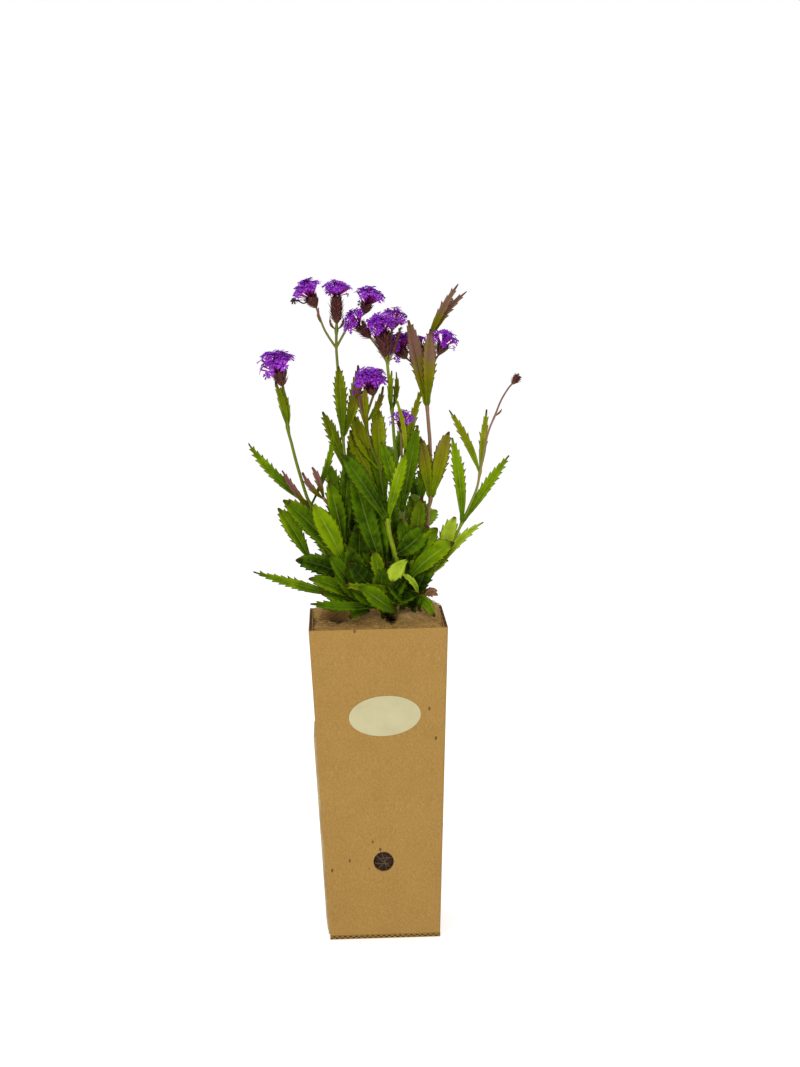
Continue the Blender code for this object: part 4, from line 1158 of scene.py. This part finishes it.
grow_shoot(
    "leaves_right", 22,
    Stem((29, -23), [(29, -24, 15), (29, -24, 32), (30, -22, 45)], 2.2, 2.0),
    [Leaf((27, -25.5, 32), (63, -29, 58.5), 19, "toasted"), Leaf((30, -23, 43), (50, -24, 69), 12),
     Leaf((30, -22, 43), (50, -17, 70), 14, "scorched", (0, 2, 3)),
     Leaf((29.5, -21, 44), (38, -8, 96), 13, "withering"), Leaf((30, -25, 17), (46, -40, -0.5), 9, "mid", (0, -4, 4)),
     Leaf((24.5, -36, 45), (12.5, -46, 28), 13, "pale", (-2, -2, 1), 10),
     Leaf((33, -26, 15), (19, -40, 35), 5, "pale", (3, -3, 3)),
     Leaf((30, -20, 36), (20, -6, 78), 14, "deep", (0, 0, 3)),
     Leaf((29, -22, 8), (4, -36, 17), 10, "dark", (0, -2, 2)), Leaf((30, -24, 6), (8, -36, 26), 16, "dark"),
     Leaf((28, -24, 12), (8, -30, 44), 16, "dark"), Leaf((29, -24, 12), (45, -26, 44), 15, "dark"),
     Leaf((28, -20, 12), (26, -8, 64), 18, "dark"), Leaf((29, -25, 8), (34, -42, 18), 15, "dark")])
grow_shoot(
    "leaves_back_left", 23,
    Stem((-12, 30), [(-20, 36, 30), (-24, 40, 60), (-26, 42, 85)], 2.6, 2.0),
    [Leaf((-20, 36, 29), (-56, 62, 40), 14, "mid", (0, 4, 4)), Leaf((-20, 36, 29), (4, 66, 46), 14, "deep", (0, 4, 4)),
     Leaf((-24, 40, 59), (-62, 44, 92), 13, "fresh", (0, 2, 5)),
     Leaf((-24, 40, 59), (-14, 76, 84), 14, "mid", (0, 4, 5)),
     Leaf((-26, 42, 84), (-38, 56, 124), 11, "mid", (0, 2, 3)), Leaf((-26, 42, 84), (-18, 34, 128), 11),
     Leaf((-20, 35, 28), (-34, 12, 52), 13, "deep"), Leaf((-24, 39, 58), (-36, 18, 92), 12)])
grow_shoot(
    "leaves_back_right", 24,
    Stem((22, 30), [(30, 36, 30), (34, 41, 62), (35, 43, 88)], 2.6, 2.0),
    [Leaf((30, 36, 29), (58, 62, 44), 13, "mid", (0, 4, 4)), Leaf((30, 36, 29), (12, 66, 40), 13, "deep", (0, 4, 4)),
     Leaf((34, 41, 61), (50, 66, 84), 12, "fresh", (0, 2, 5)), Leaf((34, 41, 61), (22, 76, 88), 14, "mid", (0, 4, 5)),
     Leaf((35, 43, 87), (44, 60, 126), 11, "mid", (0, 2, 3)), Leaf((35, 43, 87), (22, 44, 130), 10, "deep"),
     Leaf((30, 35, 28), (36, 10, 52), 13, "deep"), Leaf((34, 40, 60), (28, 18, 96), 12)])

# The calyx spikes: brown purple cones of narrow calyces, each with five pointed teeth, a stiff
# pointed bract and pale bristles. One calyx is made, and a tree sets it round each spike.
Head = namedtuple("Head", "base centre reach florets calyces core flare spread")
HEADS = {
    "A": Head((-43, 8, 248), (-49.5, 7, 261), 11.5, 42, 34, 4.8, 0.9, 1.0),
    "B": Head((-27, 9, 236), (-26.5, 8, 260), 11.8, 42, 90, 4.3, 0.15, 1.2),
    "C": Head((-5, 12, 242), (-1, 12, 254.5), 11.5, 38, 30, 4.6, 0.9, 1.0),
    "D": Head((-0.5, 4, 223), (-12, 2, 237), 10.5, 36, 40, 4.4, 0.7, 1.05),
    "E": Head((11.8, -1, 208), (8.2, -7, 232.5), 11, 46, 100, 6.8, 0.9, 1.05),
    "F": Head((17, -2, 210), (25, -8, 234), 6.0, 12, 18, 0.9, 0.1, 1.0),
    "F2": Head((17, 12, 229), (19, 14, 239.5), 9.4, 30, 30, 4.6, 0.8, 1.1),
    "G": Head((28, 16, 206), (20.5, 15, 216), 12, 52, 30, 4.8, 0.9, 1.25),
    "H": Head((41, 14, 205), (40, 17, 218), 8, 24, 34, 3.6, 0.6, 1.0),
    "I": Head((53.5, 2, 208), (59, 0, 219.5), 10, 36, 26, 4.6, 0.9, 1.05),
    "J": Head((1, 12, 177), (-1.5, 9, 189), 13, 52, 34, 5.4, 0.9, 1.05),
    "K": Head((-71, -4, 186), (-75, -4, 204), 13.4, 50, 60, 5.6, 0.95, 1.12),
    "L": Head((22.4, -4, 147), (24.2, -5, 158), 8.6, 30, 28, 3.6, 1.0, 0.95),
    "M": Head((112, -8, 184), (117, -8, 190), 4, 0, 24, 2.4, 0.2, 0.0),
}


def head_frame(head):
    """The matrix from a spike's own axes, +Z along it, to its place, and the spike's length."""
    base, centre = seen(*head.base), seen(*head.centre)
    along = (centre - base).normalized()
    neck = centre - along * head.reach * (0.25 + 0.35 * head.flare) * MM
    side = along.cross(Vector((0, 1, 0))).normalized()
    axes = Matrix((side, along.cross(side), along)).transposed().to_4x4()
    start = base + along * 0.4 * MM
    return Matrix.Translation(start) @ axes, (neck - start).length


BRISTLES = 9


def calyx_unit():
    """One calyx along +Z: a ribbed tube with five teeth, a bract on its outer side (-X), bristles."""
    growth = Growth("calyx_unit")
    rings = [[growth.add(Vector((x, y, height)) * MM, (i / 5, height / 5))
              for i, (x, y) in enumerate(circle(radius, 5))]
             for height, radius in ((0.0, 0.35), (1.6, 0.85), (3.6, 0.8))]
    growth.tube(rings)
    for i, (a, b) in enumerate(pairs(rings[-1])):
        angle = math.tau * (i + 0.5) / 5
        tip = growth.add(Vector((math.cos(angle) * 1.15, math.sin(angle) * 1.15, 4.9)) * MM, (i / 5, 1.0))
        growth.face((a, b, tip))
    bract = [[growth.add(Vector(point) * MM, (own, point[2] / 6))
              for point, own in (((x, -w, z), 0.2), ((x - 0.35, 0, z), 0.5), ((x, w, z), 0.8))]
             for z, x, w in ((0.0, -0.55, 0.75), (2.0, -1.25, 0.85), (4.0, -1.7, 0.5))]
    tip = growth.add(Vector((-2.6, 0, 6.2)) * MM, (0.5, 1.0))
    for corners in bridged(bract[0], bract[1]) + bridged(bract[1], bract[2]):
        growth.face(corners)
    for a, b in pairs(bract[2]):
        growth.face((a, b, tip))
    growth.face(tuple(reversed(bract[0])))
    for k in range(BRISTLES):
        angle = math.pi + (k - BRISTLES // 2) * 0.42
        height = 0.8 + (k * 1.7) % 3.4
        root = Vector((math.cos(angle) * 0.85 - 0.3, math.sin(angle) * 0.85, height))
        end = root + Vector((math.cos(angle) * 0.9, math.sin(angle) * 0.9, 0.75))
        corners = [growth.add((root + Vector(shift)) * MM, (0, 0), vein=1.0)
                   for shift in ((0, 0.05, 0), (0, -0.05, 0), (0, 0, 0.09))]
        point = growth.add(end * MM, (0, 1), vein=1.0)
        for a, b in pairs(corners):
            growth.face((a, b, point))
        growth.face(tuple(corners))
    return growth.make()


calyx_skin, tree, shader = new_material("calyx_skin", 0.62, specular_ior_level=0.15)
base = mix(tree, between(tree, own_way(tree)["Y"], 0.0, 0.9), (100, 68, 40), (80, 26, 50))
base = mix(tree, times(tree, stored(tree, "shade"), 0.6), base, (116, 66, 58))
base = mix(tree, times(tree, stored(tree, "vein"), 0.75), base, (168, 130, 118))
coat(tree, shader, base, 2400.0, 0.5, 0.0003)


def vector_of(tree, x, y, z):
    return node(tree, "ShaderNodeCombineXYZ", {"X": x, "Y": y, "Z": z}).outputs[0]


def turn_of(tree, x, y, z):
    """A rotation by three angles."""
    return node(tree, "FunctionNodeEulerToRotation", {0: vector_of(tree, x, y, z)}).outputs[0]


def turned_by(tree, rotation, turn):
    """A rotation, and then a turn about the part's own axes."""
    return node(tree, "FunctionNodeRotateRotation", {"Rotation": rotation, "Rotate By": turn},
                rotation_space="LOCAL").outputs[0]


def in_spiral(tree, count):
    """Each dot's number, and its share of the way."""
    index = node(tree, "GeometryNodeInputIndex").outputs[0]
    return index, maths(tree, "DIVIDE", maths(tree, "ADD", index, 0.5), count)


def round_axis(tree, angle, radius, height):
    """The place at an angle round the axis."""
    x, y = [times(tree, maths(tree, way, angle), radius) for way in ("COSINE", "SINE")]
    return vector_of(tree, x, y, height)


GOLDEN_ANGLE = math.pi * (3 - math.sqrt(5))
BARREL = (2.0, 0.6)
FUNNEL = (0.95, 0.12)
CORE_SIDES = 10
CORE_RINGS = 8
tree, given = new_group("Geometry", "calyces_round_a_spike", "Geometry", Geometry="Geometry", Calyx="Object",
                        Count="Int", Length="Float", Core="Float", Flare="Float", Size="Float", Seed="Int",
                        Material="Material")
index, share = in_spiral(tree, given["Count"])
angle = times(tree, index, GOLDEN_ANGLE)
barrel = maths(tree, "SINE", maths(tree, "MULTIPLY_ADD", share, *BARREL))
funnel = maths(tree, "MULTIPLY_ADD", share, *FUNNEL)
swell = node(tree, "ShaderNodeMix", {0: given["Flare"], 2: barrel, 3: funnel}).outputs[0]
radius = times(tree, times(tree, swell, 0.7), given["Core"])
height = times(tree, times(tree, share, 0.86), given["Length"])
dots = node(tree, "GeometryNodePoints", {"Count": given["Count"],
                                         "Position": round_axis(tree, angle, radius, height)})
lean = maths(tree, "ADD", maths(tree, "MULTIPLY_ADD", share, -0.16, 0.36), chance_in(tree, -0.1, 0.14, given["Seed"]))
aimed = turned_by(tree, turn_of(tree, 0.0, 0.0, maths(tree, "ADD", angle, math.pi)),
                  turn_of(tree, 0.0, times(tree, lean, -1.0), 0.0))
size = times(tree, given["Size"], chance_in(tree, 0.85, 1.15, given["Seed"]))
scatter(tree, given, "Calyx", dots.outputs[0], aimed, size, keep_own=True)


def spike_core(length, radius, flare):
    """The dark solid heart that the calyces stand round."""
    growth = Growth("core")
    rings = []
    for i in range(CORE_RINGS + 1):
        share = i / CORE_RINGS
        barrel, funnel = math.sin(share * BARREL[0] + BARREL[1]), share * FUNNEL[0] + FUNNEL[1]
        reach = radius * 0.9 * (barrel + (funnel - barrel) * flare) * (0.4 if share == 1 else 1)
        rings.append([growth.add(Vector((x, y, -0.8 * MM + share * length * 0.98)), (0, 0.1))
                      for x, y in circle(reach, CORE_SIDES)])
    growth.tube(rings)
    core = growth.make()
    mesh = core.data
    bpy.data.objects.remove(core, do_unlink=True)
    return mesh


calyx = calyx_unit()
for number, (letter, head) in enumerate(HEADS.items()):
    matrix, length = head_frame(head)
    spike = grown("calyces_" + letter, tree, {
        "Calyx": calyx, "Count": head.calyces, "Length": length, "Core": head.core * MM, "Flare": head.flare,
        "Size": 0.56 + 0.085 * head.core, "Seed": number, "Material": calyx_skin},
        spike_core(length, head.core * MM, head.flare))
    spike.data.transform(matrix)
    dress(spike, "calyx", "spike_" + letter)
bpy.data.objects.remove(calyx, do_unlink=True)

# The florets: violet tubes, magenta below, that stand out of the spike's top calyces and open to
# five notched lobes. One floret is made, and a tree fans it out over each head, some of them drooping.
LIMP_OVER = 0.86
FIRST_SEED = 40
LOBE = ((0.02, 0.0, 0.0, 0.6), (0.17, -0.088, 0.02, 0.8), (0.32, -0.128, 0.015, 1.0),
        (0.27, 0.0, 0.02, 0.9), (0.31, 0.134, -0.02, 1.0), (0.17, 0.088, -0.005, 0.8))


def floret_unit():
    """One floret of unit length along +Z: a slender tube, bent at its mouth, and five notched lobes."""
    growth = Growth("floret_unit")
    growth.tube([[growth.add(Vector((x - 0.13 * height * height, y, height)), (i / 4, height * 0.6))
                  for i, (x, y) in enumerate(circle(radius, 4))]
                 for height, radius in ((0.0, 0.03), (0.55, 0.036), (0.93, 0.06))])
    mouth = Matrix.Translation((-0.12, 0, 0.93)) @ Matrix.Rotation(-0.42, 4, "Y")
    for i, lift in enumerate((0.0, 0.03, -0.05, 0.04, -0.02)):
        turned = mouth @ Matrix.Rotation(math.tau * i / 5, 4, "Z") @ Matrix.Rotation(-lift * 4, 4, "Y")
        rim = [growth.add(turned @ Vector((x, y, z)), (0.5 + y * 4, own)) for x, y, z, own in LOBE]
        over, under = [growth.add(turned @ Vector((0.12, 0, z)), (0.5, 0.75)) for z in (0.03, 0.005)]
        for a, b in pairs(rim):
            growth.face((a, b, over))
            growth.face((b, a, under))
    return growth.make()


petal, tree, shader = new_material("petal_violet", 0.55, specular_ior_level=0.15)
along = own_way(tree)["Y"]
base = mix(tree, between(tree, along, 0.05, 0.45), (104, 26, 66), (172, 38, 142))
base = mix(tree, between(tree, along, 0.42, 0.75), base, (134, 30, 190))
lit = mix(tree, stored(tree, "shade"), (124, 26, 184), (186, 78, 230))
base = mix(tree, between(tree, along, 0.55, 0.85, 0.0, 0.75), base, lit)
base = mix(tree, clouds(tree, own_place(tree), 420.0, 0.0, 0.22), base, (92, 10, 134))
coat(tree, shader, base, 1600.0, 0.3, 0.0003)

tree, given = new_group("Geometry", "florets_over_a_head", "Geometry", Geometry="Geometry", Floret="Object",
                        Count="Int", Reach="Float", Spread="Float", Crown="Float", Seed="Int",
                        Material="Material")
index, share = in_spiral(tree, given["Count"])
seeds = [maths(tree, "ADD", given["Seed"], step) for step in (100.0, 200.0, 300.0)]
angle = maths(tree, "MULTIPLY_ADD", index, GOLDEN_ANGLE, chance_in(tree, -0.5, 0.5, seeds[0]))
polar = times(tree, maths(tree, "POWER", share, 0.58), given["Spread"])
polar = maths(tree, "ADD", polar, chance_in(tree, -0.26, 0.24, given["Seed"]))
limp = maths(tree, "GREATER_THAN", chance_in(tree, 0.0, 1.0, seeds[1]), LIMP_OVER)
polar = maths(tree, "MULTIPLY_ADD", times(tree, limp, share), 0.5, polar)
flat = maths(tree, "SINE", polar)
toward = round_axis(tree, angle, flat, maths(tree, "COSINE", polar))
root = node(tree, "ShaderNodeVectorMath", {0: toward, 3: times(tree, given["Reach"], 0.12)}, operation="SCALE")
dots = node(tree, "GeometryNodePoints", {"Count": given["Count"], "Position": root.outputs[0]})
spin = turn_of(tree, 0.0, 0.0, chance_in(tree, -1.2, 1.2, given["Seed"]))
aimed = turned_by(tree, turn_of(tree, 0.0, polar, angle), spin)
crown = maths(tree, "MULTIPLY_ADD", maths(tree, "SUBTRACT", 1.0, flat), maths(tree, "SUBTRACT", given["Crown"], 1.0),
              1.0)
size = times(tree, times(tree, given["Reach"], crown), chance_in(tree, 0.76, 1.1, seeds[2]))
scatter(tree, given, "Floret", dots.outputs[0], aimed, size)

floret = floret_unit()
for number, (letter, head) in enumerate(HEADS.items()):
    if not head.florets:
        continue
    matrix, length = head_frame(head)
    bloom = grown("blossom_" + letter, tree, {
        "Floret": floret, "Count": head.florets, "Reach": head.reach * (0.98 + 0.16 * head.flare) * MM,
        "Spread": head.spread, "Crown": 0.88 + 0.2 * head.flare, "Seed": FIRST_SEED + number, "Material": petal},
        bpy.data.meshes.new("blossom_" + letter))
    bloom.data.transform(matrix @ Matrix.Translation((0, 0, length)))
    dress(bloom, "floret_violet", "florets_" + letter)
bpy.data.objects.remove(floret, do_unlink=True)

# One floret under the left head has wilted: a dark thread that has dried in a curl, with a shrivelled
# crown at its end.
wilted_skin, tree, shader = new_material("wilted_floret", 0.8, specular_ior_level=0.1)
coat(tree, shader, mix(tree, clouds(tree, own_place(tree), 700.0), (38, 18, 34), (84, 50, 48)))
thread = smooth_path([seen(-48, 4, 254), seen(-53, 3, 251.5), seen(-58, 2, 254), seen(-62, 2, 254)])
threads = [strand("thread", thread, 0.6 * MM, wilted_skin)]
start = seen(-61, 2, 254)
for angle in [math.radians(degrees) for degrees in range(0, 360, 60)]:
    swing = Vector((math.cos(angle), 0.6 * math.sin(angle * 2), math.sin(angle))) * 2.4 * MM
    lobe = smooth_path([start, start + swing * 0.6, start + swing + Vector((0, 0, -1)) * MM])
    threads.append(strand("lobe", lobe, 0.7 * MM, wilted_skin))
dress(joined("wilted_floret", threads), "floret_violet")
